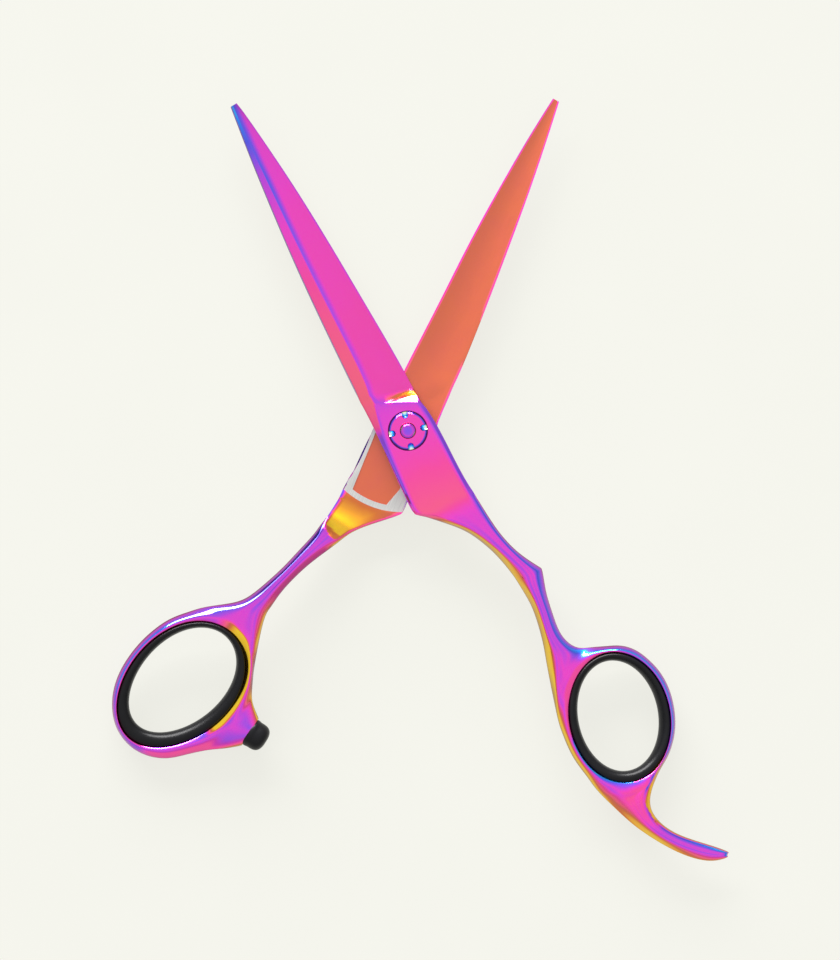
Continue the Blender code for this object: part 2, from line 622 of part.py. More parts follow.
def click_plate(group, cutters, material):
    """A toothed washer that the stud's two flats keep from turning."""
    bm = bmesh.new()
    rings = {}
    for face, height in (("low", PLATE_FOOT), ("high", PLATE_TOP)):
        rings[face] = []
        for k in range(PLATE_TEETH * 4):
            radius = PLATE_RADIUS - (PLATE_TOOTH_DEPTH if k % 4 in (1, 2) else 0.0)
            angle = 2 * math.pi * k / (PLATE_TEETH * 4)
            rings[face].append(bm.verts.new(
                Vector((radius * math.cos(angle), radius * math.sin(angle), height)) * MM))
    for k in range(PLATE_TEETH * 4):
        n = (k + 1) % (PLATE_TEETH * 4)
        bm.faces.new((rings["low"][k], rings["low"][n], rings["high"][n], rings["high"][k]))
    bm.faces.new(rings["low"])
    bm.faces.new(rings["high"])
    plate = object_from(bm, "click_plate", group, material)
    hole = drum("plate_hole", STUD_END_RADIUS + PLATE_CLEARANCE, PLATE_FOOT - 1, PLATE_TOP + 1,
                cutters)
    flats = (STUD_FLATS + 2 * PLATE_CLEARANCE, 6, 6)
    cut(hole, block("plate_flats", flats, (0, 0, PLATE_TOP), cutters), "INTERSECT")
    cut(plate, hole)
    return plate


def click_spring(group, material):
    """A wave washer that presses the dial against the click plate."""
    bm = bmesh.new()
    loops = []
    for k in range(ROUND_SIDES):
        angle = 2 * math.pi * k / ROUND_SIDES
        height = SPRING_MIDDLE + SPRING_WAVE * math.sin(SPRING_WAVES * angle)
        loop = []
        for radius, side in ((SPRING_INNER_RADIUS, -1), (SPRING_OUTER_RADIUS, -1),
                             (SPRING_OUTER_RADIUS, 1), (SPRING_INNER_RADIUS, 1)):
            level = height + side * SPRING_THICKNESS / 2
            loop.append(Vector((radius * math.cos(angle), radius * math.sin(angle), level)))
        loops.append(add_points(bm, loop))
    for here, after in zip(loops, loops[1:] + loops[:1]):
        for i in range(4):
            n = (i + 1) % 4
            bm.faces.new((here[i], after[i], after[n], here[n]))
    return object_from(bm, "click_spring", group, material)


def notch_cutter(name, angle, group):
    """A round-ended slot that runs out through the dial's rim."""
    bm = bmesh.new()
    plan = [(DIAL_RADIUS + 1, NOTCH_RADIUS)]
    for degrees in range(90, 271, 20):
        a = math.radians(degrees)
        plan.append((NOTCH_REACH + NOTCH_RADIUS * math.cos(a), NOTCH_RADIUS * math.sin(a)))
    plan.append((DIAL_RADIUS + 1, -NOTCH_RADIUS))
    low = add_points(bm, [Vector((*p, DIAL_TOP - NOTCH_DEPTH)) for p in plan])
    high = add_points(bm, [Vector((*p, DIAL_TOP + 1)) for p in plan])
    for k in range(len(plan)):
        n = (k + 1) % len(plan)
        bm.faces.new((low[k], low[n], high[n], high[k]))
    bm.faces.new(low)
    bm.faces.new(high)
    cutter = object_from(bm, name, group)
    cutter.data.transform(Matrix.Rotation(math.radians(angle), 4, "Z"))
    return cutter


def tension_dial(group, cutters, material):
    """The round nut that sets the tension, with a bevelled rim and four notches."""
    profile = ((DIAL_BORE_RADIUS, DIAL_FOOT), (DIAL_RADIUS, DIAL_FOOT),
               (DIAL_RADIUS, DIAL_TOP - DIAL_EDGE), (DIAL_RADIUS - DIAL_EDGE, DIAL_TOP),
               (DIAL_BORE_RADIUS + DIAL_BORE_EDGE, DIAL_TOP),
               (DIAL_BORE_RADIUS, DIAL_TOP - DIAL_BORE_EDGE), (DIAL_BORE_RADIUS, DIAL_FOOT))
    dial = turned("tension_dial", profile, group, material)
    for k in range(DIAL_NOTCHES):
        angle = DIAL_NOTCH_START + 360 / DIAL_NOTCHES * k
        cut(dial, notch_cutter(f"dial_notch_{k}", angle, cutters))
    return dial


def in_world(thing, swing, turned_over):
    """Carries a piece from its half's flat frame to where it lies."""
    over = Matrix.Rotation(math.pi, 4, "Y") if turned_over else Matrix.Identity(4)
    swung = Matrix.Rotation(math.radians(swing), 4, "Z")
    lifted = Matrix.Translation(Vector((0, 0, MEETING_HEIGHT)) * MM)
    thing.matrix_world = lifted @ swung @ over


def main():
    clear_scene()
    pieces = new_collection("hairdressing_shears")
    cutters = new_collection("cutters")
    coated = finish_material("rainbow coated steel", (0.87, 0.14, 0.46), 0.12, 1.0)
    steel = finish_material("bare steel", (0.62, 0.61, 0.6), 0.25, 1.0)
    rubber = finish_material("black rubber", (0.012, 0.012, 0.013), 0.42, 0.0)
    nylon = finish_material("white nylon", (0.75, 0.75, 0.72), 0.5, 0.0)
    brass = finish_material("brass", (0.6, 0.45, 0.18), 0.3, 1.0)

    finger = forged_half("finger_blade", FINGER_ROWS, FINGER_RING, FINGER_JOIN,
                         TANG_JOIN, TANG_ROWS, pieces, coated, peak=SHANK_SMOOTH)
    boss_rows = [boss_row(**section) for section in BOSS_ROWS]
    thumb = forged_half("thumb_blade", THUMB_ROWS, THUMB_RING, THUMB_JOIN,
                        BOSS_JOIN, boss_rows, pieces, coated, flat_end=True)

    finger_cutters = (
        drum("pivot_bore", BORE_RADIUS, -1, BODY_TOP + 1, cutters),
        drum("dial_pocket", DIAL_POCKET_RADIUS, DIAL_POCKET_FLOOR, BODY_TOP + 1, cutters),
        drum("washer_seat", WASHER_SEAT_RADIUS, -1, WASHER_SEAT_TOP, cutters))
    for cutter in finger_cutters:
        cut(finger, cutter)
        in_world(cutter, FINGER_SWING, False)
    square = block("square_hole", (SQUARE_HOLE, SQUARE_HOLE, 8), (0, 0, 2), cutters)
    stem_hole = turned("stem_hole", ((STEM_HOLE_RADIUS, -STEM_HOLE_DEPTH),
                                     (STEM_HOLE_RADIUS, STEM_HOLE_TOP)), cutters, sides=24)
    place_along(stem_hole, Vector(BUMPER_SEAT), BUMPER_AXIS)
    for cutter in (square, stem_hole):
        cut(thumb, cutter)
        in_world(cutter, THUMB_SWING, True)

    in_world(finger, FINGER_SWING, False)
    in_world(thumb, THUMB_SWING, True)
    in_world(insert_ring("finger_ring_insert", FINGER_RING, pieces, rubber), FINGER_SWING, False)
    in_world(insert_ring("thumb_ring_insert", THUMB_RING, pieces, rubber), THUMB_SWING, True)
    in_world(bumper("bumper", pieces, rubber), THUMB_SWING, True)

    hardware = (
        pivot_stud(pieces, cutters, coated),
        washer("pivot_bush", BUSH_INNER_RADIUS, BUSH_OUTER_RADIUS, BUSH_FOOT, BUSH_TOP,
               pieces, brass),
        washer("ride_washer", WASHER_INNER_RADIUS, WASHER_OUTER_RADIUS, WASHER_FOOT, WASHER_TOP,
               pieces, nylon),
        click_plate(pieces, cutters, steel),
        click_spring(pieces, steel),
        tension_dial(pieces, cutters, coated))
    hardware_cutters = [c for c in cutters.objects
                        if c not in finger_cutters and c not in (square, stem_hole)]
    for thing in (*hardware, *hardware_cutters):
        in_world(thing, THUMB_SWING, False)

    hide_cutters(cutters)
    for thing in pieces.objects:
        thing.data.shade_smooth()
        thing.data.set_sharp_from_angle(angle=math.radians(SHARP_ANGLE))


main()
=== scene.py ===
"""Looks for the hairdressing shears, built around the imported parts.

The two forged halves, the rubber pieces, the dial and the stud are made again as fine meshes that
replace their plain CAD solids.  The small parts hidden inside the pivot keep their CAD meshes and
get better finishes.  A pale table, soft studio light and the camera complete the scene.

Each half is made in its own flat frame, in millimetres: Y runs along the closed blade to its tip,
X runs from the spine to the cutting edge, and Z runs out from the plane where the halves meet.
"""

from collections import namedtuple
from math import atan2, cos, degrees, pi, radians, sin, tan

import bmesh
import bpy
import numpy as np
from mathutils import Matrix, Vector


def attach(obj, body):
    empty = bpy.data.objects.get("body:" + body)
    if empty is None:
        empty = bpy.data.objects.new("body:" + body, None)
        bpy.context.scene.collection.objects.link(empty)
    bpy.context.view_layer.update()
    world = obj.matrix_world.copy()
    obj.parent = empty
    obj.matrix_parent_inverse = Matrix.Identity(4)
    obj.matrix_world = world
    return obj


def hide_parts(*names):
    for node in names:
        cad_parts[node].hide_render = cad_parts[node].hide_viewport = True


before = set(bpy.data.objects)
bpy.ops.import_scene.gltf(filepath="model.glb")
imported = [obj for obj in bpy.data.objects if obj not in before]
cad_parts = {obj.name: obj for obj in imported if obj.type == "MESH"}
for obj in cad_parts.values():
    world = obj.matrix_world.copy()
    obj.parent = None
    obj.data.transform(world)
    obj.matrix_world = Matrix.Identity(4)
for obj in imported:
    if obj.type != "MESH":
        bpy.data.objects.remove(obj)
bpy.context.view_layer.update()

MM = 0.001
FINGER_SWING = 27.7
THUMB_SWING = -24.2
MEETING_HEIGHT = 4.5

BODY_TOP = 3.2
RIDE_GAP = 0.1
EDGE_LAND = 0.14
SPINE_LEAN = 0.22
FACE_SWELL = 0.12
HOLLOW_SHARES = (0.3, 0.8, 1.0, 0.7, 0.0)
SMOOTH_LEVELS = 3
SHARP_ANGLE = 32.0

STUD_HEAD_RADIUS = 4.7
STUD_HEAD_THICKNESS = 1.2
STUD_SQUARE = 3.4
STUD_SHOULDER = -0.6
STUD_SHAFT_RADIUS = 1.7
STUD_END_RADIUS = 1.25
STUD_END_FOOT = 1.45
STUD_END_TOP = 3.75
STUD_DOME = 0.35
STUD_EDGE, STUD_RIM = 0.45, 0.15
NECK_SHARE = 0.7
SQUARE_HOLE = 3.8
BORE_RADIUS = 2.75
WASHER_SEAT_RADIUS = 4.3
WASHER_SEAT_TOP = 0.45
DIAL_RADIUS = 3.65
DIAL_FOOT, DIAL_TOP = 2.35, 3.6
DIAL_BORE_RADIUS = 1.38
DIAL_POCKET_RADIUS = 3.84
DIAL_POCKET_FLOOR = 1.5
DIAL_NOTCHES = 4
DIAL_NOTCH_START = 35.0
DIAL_BEVEL = 0.5
DIAL_RIM_ROUND, DIAL_SHOULDER_ROUND, DIAL_LIP_ROUND = 0.08, 0.3, 0.1
DIAL_LIP_DEPTH = 0.24
DIAL_LIP_WIDTH = 0.22
NOTCH_RADIUS = 0.6
NOTCH_REACH = 2.98
NOTCH_DEPTH = 0.75

RING_SECTORS = 24
RING_HALF_HEIGHT = 2.05
RING_RIM_SHARE = 0.8
RING_OUTER_SHARE = 0.35
RING_CREST_AT = 0.45
INSERT_GRIP = 0.06
INSERT_SECTORS = 48
INSERT_LEVELS = 2
INSERT_PROFILE = ((0.0, 0.62), (0.03, 0.86), (0.16, 1.0), (0.42, 1.06), (0.7, 0.93),
                  (0.9, 0.66), (1.0, 0.28))
ROUND_SIDES = 96

# The ground pocket inside each half leaves a bare strip of steel round it, where the halves ride
POCKET_DEPTH = 0.16
POCKET_ISLAND = 4.6
POCKET_ARC = 15.0
RIDE_ARC = 16.1
RIDE_CENTRE = 1.4
BARE_TOP = 1.5


class Ring:
    """The oval of a finger ring, with its rubber insert, in its half's flat frame."""

    def __init__(self, centre, long_radius, short_radius, turn, height, slope, downhill,
                 widths, clear_centre, clear_long, clear_short, lean, egg=0.0):
        self.centre = Vector(centre)
        self.long_radius = long_radius
        self.short_radius = short_radius
        turn = radians(turn)
        self.along = Vector((cos(turn), sin(turn)))
        self.across = Vector((-self.along.y, self.along.x))
        self.height = height
        self.slope = slope
        self.downhill = Vector(downhill).normalized()
        self.widths = widths
        self.clear_centre = Vector(clear_centre)
        self.clear_long = clear_long
        self.clear_short = clear_short
        self.lean = Vector(lean)
        self.egg = egg

    def oval(self, angle, centre, long_radius, short_radius):
        blunt = 1 + self.egg * cos(angle)
        return (centre + long_radius * cos(angle) * self.along
                + short_radius * blunt * sin(angle) * self.across)

    def outward(self, angle):
        return (self.short_radius * cos(angle) * self.along
                + self.long_radius * sin(angle) * self.across).normalized()

    def hole(self, angle, grow=0.0):
        return (self.oval(angle, self.centre, self.long_radius, self.short_radius)
                + grow * self.outward(angle))

    def clear(self, angle):
        return self.oval(angle, self.clear_centre, self.clear_long, self.clear_short)

    def normal(self):
        return Vector((*(self.slope * self.downhill), 1.0)).normalized()

    def plane(self, point):
        """Height of the ring's tilted middle plane at a plan point."""
        return self.height - self.slope * (point - self.centre).dot(self.downhill)


FINGER_RING = Ring(
    centre=(10.35, -67.3), long_radius=12.5, short_radius=9.55, turn=74.0,
    height=-0.4, slope=0.14, downhill=(0.85, -0.53),
    widths=(1.3, 2.1, 2.4, 2.6, 2.6, 2.3, 1.75, 1.5, 1.5, 1.8, 2.8, 2.4,
            2.2, 1.6, 0.95, 0.8, 0.85, 0.95, 1.0, 1.1, 1.15, 1.15, 1.3, 1.3),
    clear_centre=(10.22, -66.88), clear_long=10.68, clear_short=7.62, lean=(0.8, -0.42))

THUMB_RING = Ring(
    centre=(19.7, -62.2), long_radius=14.0, short_radius=9.9, turn=112.5,
    height=0.1, slope=0.15, downhill=(0.116, 0.99),
    widths=(2.6, 2.4, 1.8, 1.6, 2.4, 2.6, 2.6, 3.1, 2.3, 2.15, 1.8, 1.35,
            1.0, 0.9, 0.95, 1.1, 1.2, 1.2, 1.25, 1.4, 1.65, 1.95, 2.8, 2.8),
    clear_centre=(19.85, -61.3), clear_long=12.0, clear_short=7.9, lean=(-0.37, -0.14),
    egg=0.06)


Row = namedtuple("Row", ("tops", "bottoms"))


def row(tops, bottoms):
    return Row([Vector(p) for p in tops], [Vector(p) for p in bottoms])


def across(left, right, fraction):
    return Vector(left).lerp(Vector(right), fraction)


def blade_row(left, right, ridge, spine, crest, hollow):
    """A blade's section: spine wall, bevel, ridge, and a face down to the cutting edge."""
    fractions = (SPINE_LEAN / (Vector(right) - Vector(left)).length, ridge,
                 ridge + (1 - ridge) / 3, ridge + (1 - ridge) * 2 / 3, 1.0)
    edge_top = RIDE_GAP + EDGE_LAND
    heights = [spine]
    for fraction in fractions[1:]:
        share = (fraction - ridge) / (1 - ridge)
        swell = FACE_SWELL * crest * share * (1 - share)
        heights.append(crest + (edge_top - crest) * share + swell)
    tops = [(*across(left, right, f), z) for f, z in zip(fractions, heights)]
    places = (0.0, ridge, fractions[2], fractions[3], 1.0)
    bottoms = [(*across(left, right, f), RIDE_GAP + share * hollow)
               for f, share in zip(places, HOLLOW_SHARES)]
    return row(tops, bottoms)


def beam_row(left, right, shoulders, top, drops, bottom, rises, under=None, hollow=0.0):
    """A section with a flat or rounded top and underside, between two shoulders."""
    first, last = shoulders
    fractions = (0.0, first, (first + last) / 2, last, 1.0)
    heights = (top - drops[0], top, top, top, top - drops[1])
    first, last = under or shoulders
    places = (0.0, first, (first + last) / 2, last, 1.0)
    depths = (bottom + rises[0], bottom, bottom + hollow, bottom, bottom + rises[1])
    tops = [(*across(left, right, f), z) for f, z in zip(fractions, heights)]
    bottoms = [(*across(left, right, f), z) for f, z in zip(places, depths)]
    return row(tops, bottoms)


# Sections of the heel, where the blade's face rises to the body: Y and height of each point across,
# and the depth of the hollow inside. Both halves share them.
HEEL_SECTIONS = (
    (((9.3, 2.15), (8.9, 3.12), (6.95, 2.85), (6.85, 0.85), (6.35, 0.3)), 0.24),
    (((8.2, 2.18), (7.9, 3.17), (6.5, 3.04), (5.75, 2.1), (5.25, 1.9)), 0.24),
    (((7.0, 2.2), (6.9, 3.2), (6.1, 3.2), (4.0, 3.2), (3.6, 2.85)), 0.22))


def heel_rows(*places):
    """The heel's sections, from the X of each point across."""
    rows = []
    for xs, (points, hollow) in zip(places, HEEL_SECTIONS):
        depths = (RIDE_GAP, RIDE_GAP + hollow, RIDE_GAP + hollow, RIDE_GAP + hollow, RIDE_GAP)
        rows.append(row([(x, y, z) for x, (y, z) in zip(xs, points)],
                        [(x, y, depth) for x, (y, _), depth in zip(xs, points, depths)]))
    return rows


# Blade sections from the tip to the heel: where the ridge lies across the width, the heights of the
# spine and the ridge, and the depth of the hollow inside. Both halves share them.
BLADE_SECTIONS = (
    (0.36, 0.7, 0.85, 0.05), (0.30, 0.85, 1.05, 0.1), (0.28, 1.05, 1.4, 0.25),
    (0.28, 1.3, 1.8, 0.35), (0.28, 1.55, 2.2, 0.45), (0.285, 1.8, 2.6, 0.5),
    (0.28, 2.0, 2.9, 0.5), (0.25, 2.1, 3.08, 0.3))


def blade_rows(spine, edge):
    """The blade's sections, between the points of its spine and of its cutting edge."""
    return tuple(blade_row(left, right, *section)
                 for left, right, section in zip(spine, edge, BLADE_SECTIONS))


FINGER_ROWS = (
    *blade_rows(((-1.25, 70.5), (-1.62, 67.6), (-2.5, 60.0), (-3.45, 50.0), (-4.38, 38.0),
                 (-5.0, 26.0), (-5.36, 16.0), (-5.5, 11.4)),
                ((0.1, 70.6), (0.62, 67.6), (1.54, 60.0), (2.54, 50.0), (3.37, 38.0),
                 (3.98, 26.0), (4.44, 16.0), (4.6, 9.8))),
    *heel_rows((-5.5, -3.4, -0.9, 3.4, 4.65), (-5.48, -3.4, -0.6, 3.7, 4.76),
               (-5.47, -3.38, -0.35, 4.0, 4.8)),
    beam_row((-5.55, 3.0), (5.25, 0.6), (0.115, 0.93), 3.2, (0.75, 0.5), 0.1, (0, 0), hollow=0.2),
    beam_row((-5.85, -3.4), (5.4, -4.5), (0.065, 0.93), 3.2, (0.65, 0.55), 0.1, (0, 0)),
    beam_row((-6.2, -10.5), (5.33, -10.5), (0.055, 0.93), 3.2, (0.6, 0.55), 0.1, (0, 0)),
    beam_row((-6.24, -14.66), (5.5, -15.0), (0.06, 0.92), 3.2, (0.65, 0.6), 0.12, (0, 0)),
    beam_row((-4.5, -16.25), (5.62, -17.2), (0.12, 0.89), 3.15, (1.0, 0.7), 0.35, (0, 0)),
    beam_row((-1.76, -19.0), (5.8, -20.2), (0.16, 0.87), 3.1, (1.4, 0.8), 0.35, (0.0, 0.0)),
    beam_row((0.82, -22.0), (6.1, -23.4), (0.2, 0.84), 3.0, (1.6, 0.9), -0.5, (0.4, 0.4)),
    beam_row((2.6, -25.2), (6.62, -26.5), (0.24, 0.81), 2.9, (1.8, 1.0), -1.7, (1.0, 0.9)),
    beam_row((4.1, -29.2), (7.9, -30.6), (0.27, 0.78), 2.8, (1.9, 1.1), -1.9, (1.3, 1.2)),
    beam_row((5.1, -33.6), (10.2, -35.1), (0.26, 0.74), 2.75, (1.9, 1.4), -1.7, (1.3, 1.4)),
    beam_row((5.32, -36.0), (9.75, -36.8), (0.26, 0.74), 2.75, (1.9, 1.4), -1.6, (1.3, 1.3)),
    beam_row((5.46, -39.0), (8.85, -39.8), (0.27, 0.74), 2.8, (1.9, 1.4), -1.4, (1.2, 1.3)),
    beam_row((5.2, -42.7), (8.15, -43.6), (0.27, 0.74), 3.0, (1.8, 1.4), -1.2, (1.2, 1.3)),
    beam_row((4.2, -47.6), (7.72, -48.0), (0.27, 0.74), 3.2, (1.8, 1.3), -1.0, (1.1, 1.3)),
    beam_row((2.88, -52.0), (8.95, -51.4), (0.24, 0.78), 3.3, (1.9, 1.4), -0.8, (1.1, 1.3)),
)
FINGER_JOIN = (5, 4, 3, 2, 1)

TANG_JOIN = (10, 11, 12, 13, 14)
TANG_ROWS = (
    beam_row((1.8, -82.3), (8.95, -82.6), (0.25, 0.75), 1.1, (1.5, 0.9), -2.2, (1.2, 1.2)),
    beam_row((3.5, -87.0), (7.35, -86.2), (0.3, 0.72), 1.3, (1.5, 0.8), -1.9, (1.2, 1.1)),
    beam_row((6.1, -91.9), (8.7, -90.7), (0.3, 0.72), 1.35, (1.2, 0.7), -1.5, (1.1, 0.9)),
    beam_row((9.2, -96.2), (11.7, -94.5), (0.3, 0.72), 1.2, (1.0, 0.6), -1.2, (0.9, 0.7)),
    beam_row((12.9, -99.45), (14.5, -97.3), (0.3, 0.72), 1.0, (0.7, 0.5), -1.0, (0.6, 0.5)),
    beam_row((15.7, -100.45), (16.5, -99.4), (0.3, 0.72), 0.6, (0.3, 0.3), -0.7, (0.3, 0.3)),
)

THUMB_ROWS = (
    *blade_rows(((-0.55, 69.2), (-0.76, 67.6), (-1.6, 60.0), (-2.52, 50.0), (-3.34, 38.0),
                 (-4.02, 26.0), (-4.42, 16.0), (-4.42, 11.4)),
                ((0.72, 69.3), (1.0, 67.6), (2.0, 60.0), (3.03, 50.0), (3.98, 38.0),
                 (4.54, 26.0), (5.05, 16.0), (5.35, 9.8))),
    *heel_rows((-4.44, -2.3, 0.1, 4.2, 5.4), (-4.45, -2.3, 0.4, 4.45, 5.46),
               (-4.48, -2.35, 0.65, 4.75, 5.54)),
    beam_row((-4.6, 3.0), (5.75, 0.6), (0.115, 0.93), 3.2, (0.75, 0.5), 0.1, (0, 0.2),
             (0.05, 0.97), 0.2),
    beam_row((-4.85, -4.5), (6.25, -4.5), (0.085, 0.93), 3.2, (0.65, 0.6), 0.1, (0, 0.2),
             (0.05, 0.98)),
    beam_row((-5.1, -10.5), (6.35, -10.5), (0.07, 0.92), 3.2, (0.6, 0.6), 0.1, (0, 0.25),
             (0.05, 0.98)),
    beam_row((-5.35, -14.75), (6.45, -14.6), (0.08, 0.92), 3.2, (0.65, 0.6), 0.1, (0, 0.22),
             (0.05, 0.98)),
    beam_row((-4.25, -16.1), (6.55, -16.2), (0.15, 0.9), 3.15, (1.0, 0.7), 0.1, (0.1, 0.14),
             (0.12, 0.965)),
    beam_row((-0.9, -19.1), (6.93, -18.8), (0.20, 0.86), 3.0, (1.3, 0.8), 0.42, (0.2, 0.12),
             (0.14, 0.95)),
    beam_row((1.9, -22.0), (7.35, -21.4), (0.25, 0.82), 2.6, (1.4, 0.9), -0.35, (0.3, 0.3),
             (0.22, 0.93)),
    beam_row((3.4, -24.5), (7.8, -23.4), (0.27, 0.8), 2.3, (1.4, 0.9), -1.75, (0.7, 0.8)),
    beam_row((4.75, -27.0), (8.3, -25.7), (0.28, 0.76), 2.0, (1.3, 1.0), -2.25, (1.2, 1.2)),
    beam_row((6.85, -30.9), (9.6, -29.6), (0.3, 0.74), 1.5, (1.3, 1.2), -2.7, (1.4, 1.4)),
    beam_row((8.5, -34.8), (11.0, -33.6), (0.3, 0.74), 1.0, (1.3, 1.2), -3.2, (1.4, 1.4)),
    beam_row((9.65, -38.4), (12.7, -37.6), (0.3, 0.74), 0.5, (1.3, 1.2), -3.8, (1.4, 1.4)),
    beam_row((10.25, -41.4), (14.25, -40.7), (0.28, 0.76), 0.1, (1.3, 1.2), -4.3, (1.4, 1.4)),
    beam_row((10.35, -44.8), (16.5, -43.4), (0.24, 0.78), -0.2, (1.3, 1.3), -4.5, (1.3, 1.3)),
)
THUMB_JOIN = (2, 1, 0, 23, 22)
THUMB_FLARES = ((23, 0.1), (0, 0.35), (1, 0.6), (2, 0.85), (3, 0.8), (4, 0.55), (5, 0.5), (6, 0.5),
                (7, 0.2))

BOSS_JOIN = (4, 5, 6, 7)
BOSS_ROWS = (
    {"left": (5.0, -60.9), "right": (6.7, -69.2), "half_height": 2.2},
    {"left": (3.55, -62.1), "right": (4.35, -67.7), "half_height": 2.35},
)
BUMPER_SEAT = (3.75, -64.9)
BUMPER_AXIS = (-0.99, -0.144)
BUMPER_SINK = -0.4
BUMPER_LENGTH = 3.4
BUMPER_STEM_RADIUS = 1.2
BUMPER_STEM_LENGTH = 2.6
BUMPER_SHARP_ANGLE = 50.0
STEM_HOLE_RADIUS = 1.4
STEM_HOLE_DEPTH = 3.0


def put(thing):
    bpy.context.scene.collection.objects.link(thing)
    return thing


def object_from(bm, name):
    """Closes off a mesh under construction as a named object, with its faces pointing out."""
    bmesh.ops.recalc_face_normals(bm, faces=bm.faces)
    mesh = bpy.data.meshes.new(name)
    bm.to_mesh(mesh)
    bm.free()
    return put(bpy.data.objects.new(name, mesh))


def add_points(bm, points):
    return [bm.verts.new(point * MM) for point in points]


def add_row(bm, section):
    return Row(*(add_points(bm, side) for side in section))


def bridge_rows(bm, upper, lower):
    """Joins two neighbouring sections along top, underside and both side walls."""
    (top, low), (next_top, next_low) = upper, lower
    last = len(top) - 1
    for i in range(last):
        bm.faces.new((top[i], next_top[i], next_top[i + 1], top[i + 1]))
        bm.faces.new((low[i], low[i + 1], next_low[i + 1], next_low[i]))
    bm.faces.new((top[0], low[0], next_low[0], next_top[0]))
    bm.faces.new((top[last], next_top[last], next_low[last], low[last]))


def cap_row(bm, section):
    for i in range(len(section.tops) - 1):
        bm.faces.new((section.tops[i], section.tops[i + 1],
                      section.bottoms[i + 1], section.bottoms[i]))


def add_strip(bm, rows):
    for upper, lower in zip(rows, rows[1:]):
        bridge_rows(bm, upper, lower)


def ring_section(ring, sector, web, flare):
    """Inner rim, crest and outer edge of one sector; a flare sinks its rim on one face."""
    angle = 2 * pi * sector / RING_SECTORS
    width = ring.widths[sector]
    outer_share = 1.0 if web else RING_OUTER_SHARE
    section = {}
    for name, grow, share, opened, sunk in (
            ("rim", 0.0, RING_RIM_SHARE, 0.0, 0.25), ("crest", RING_CREST_AT * width, 1.0, 0.5, 0.0),
            ("outer", width, outer_share, 0.0, 0.0)):
        plain, shown = ring.hole(angle, grow), ring.hole(angle, grow + opened * flare)
        height, depth = share * RING_HALF_HEIGHT, (share - sunk * flare) * RING_HALF_HEIGHT
        section[name] = (Vector((*plain, ring.plane(plain) + height)),
                         Vector((*shown, ring.plane(shown) - depth)))
    return section


def add_ring(bm, ring, joins, flares):
    """Builds a finger ring, left open on its outer wall where each strip joins it."""
    webs = {sector for join in joins for sector in join[1:-1]}
    sectors = []
    for sector in range(RING_SECTORS):
        section = ring_section(ring, sector, sector in webs, flares.get(sector, 0.0))
        sectors.append({name: add_points(bm, pair) for name, pair in section.items()})
    open_walls = {frozenset(pair) for join in joins for pair in zip(join, join[1:])}
    for k in range(RING_SECTORS):
        here, after = sectors[k], sectors[(k + 1) % RING_SECTORS]
        for side in (0, 1):
            for inner, outer in (("rim", "crest"), ("crest", "outer")):
                bm.faces.new((here[inner][side], here[outer][side],
                              after[outer][side], after[inner][side]))
        bm.faces.new((here["rim"][0], after["rim"][0], after["rim"][1], here["rim"][1]))
        if frozenset((k, (k + 1) % RING_SECTORS)) not in open_walls:
            bm.faces.new((here["outer"][0], here["outer"][1],
                          after["outer"][1], after["outer"][0]))
    return sectors


def skin(bm, here, after):
    """Quads between two neighbouring loops of points."""
    for i in range(len(here)):
        n = (i + 1) % len(here)
        bm.faces.new((here[i], here[n], after[n], after[i]))


def row_of_ring(sectors, join):
    return Row(*([sectors[k]["outer"][side] for k in join] for side in (0, 1)))


def crease(bm, chain, value):
    layer = bm.edges.layers.float.get("crease_edge") or bm.edges.layers.float.new("crease_edge")
    for a, b in zip(chain, chain[1:]):
        bm.edges.get((a, b))[layer] = value


# Sections where the scoop starts, and where the body starts and ends
SCOOP_FOOT, BODY_START, BODY_END = 8, 10, 15
# Lengthwise creases: face, column, first section, the one after the last, and sharpness. Where two
# share an edge the later one holds.
LONG_CREASES = (
    ("tops", 1, BODY_END + 1, None, 0.25), ("tops", 1, SCOOP_FOOT, BODY_END + 2, 0.55),
    ("tops", 1, 0, SCOOP_FOOT + 1, 0.75), ("tops", 3, BODY_END, BODY_END + 6, 0.35),
    ("tops", 3, BODY_START, BODY_END + 1, 0.55), ("tops", 0, 0, BODY_END + 1, 0.9),
    ("tops", 4, 0, BODY_END + 1, 0.9), ("bottoms", 0, 0, BODY_END + 2, 0.9),
    ("bottoms", 4, 0, BODY_END + 2, 0.9), ("bottoms", 3, BODY_START + 1, BODY_END, 0.95))


def crease_half(bm, rows, sectors, inner_ridges, peaks):
    """Sharpens the blade's edges, the body's bevels, its corners and the rings' rims."""
    for place in peaks:
        tops, bottoms = rows[place].tops, rows[place].bottoms
        crease(bm, [tops[3], tops[4], bottoms[4], bottoms[3]], 0.8)
    for place in inner_ridges:
        crease(bm, rows[place].bottoms[1:4], 0.7)
    for side, column, first, last, value in LONG_CREASES:
        crease(bm, [getattr(r, side)[column] for r in rows[first:last]], value)
    for place, column, value in ((SCOOP_FOOT, 2, 1.0), (SCOOP_FOOT + 1, 2, 0.75),
                                 (BODY_START, 1, 0.9), (0, 0, 0.8)):
        crease(bm, rows[place].tops[column:], value)
    crease(bm, rows[0].bottoms, 0.8)
    for place, column in ((0, 0), (0, 4), (BODY_END - 1, 0)):
        crease(bm, [rows[place].tops[column], rows[place].bottoms[column]], 0.8)
    for side in (0, 1):
        loop = [s["rim"][side] for s in sectors]
        crease(bm, loop + loop[:1], 0.55)


def smoothed(thing, levels):
    smooth = thing.modifiers.new("smooth surface", "SUBSURF")
    smooth.levels = smooth.render_levels = levels
    return smooth


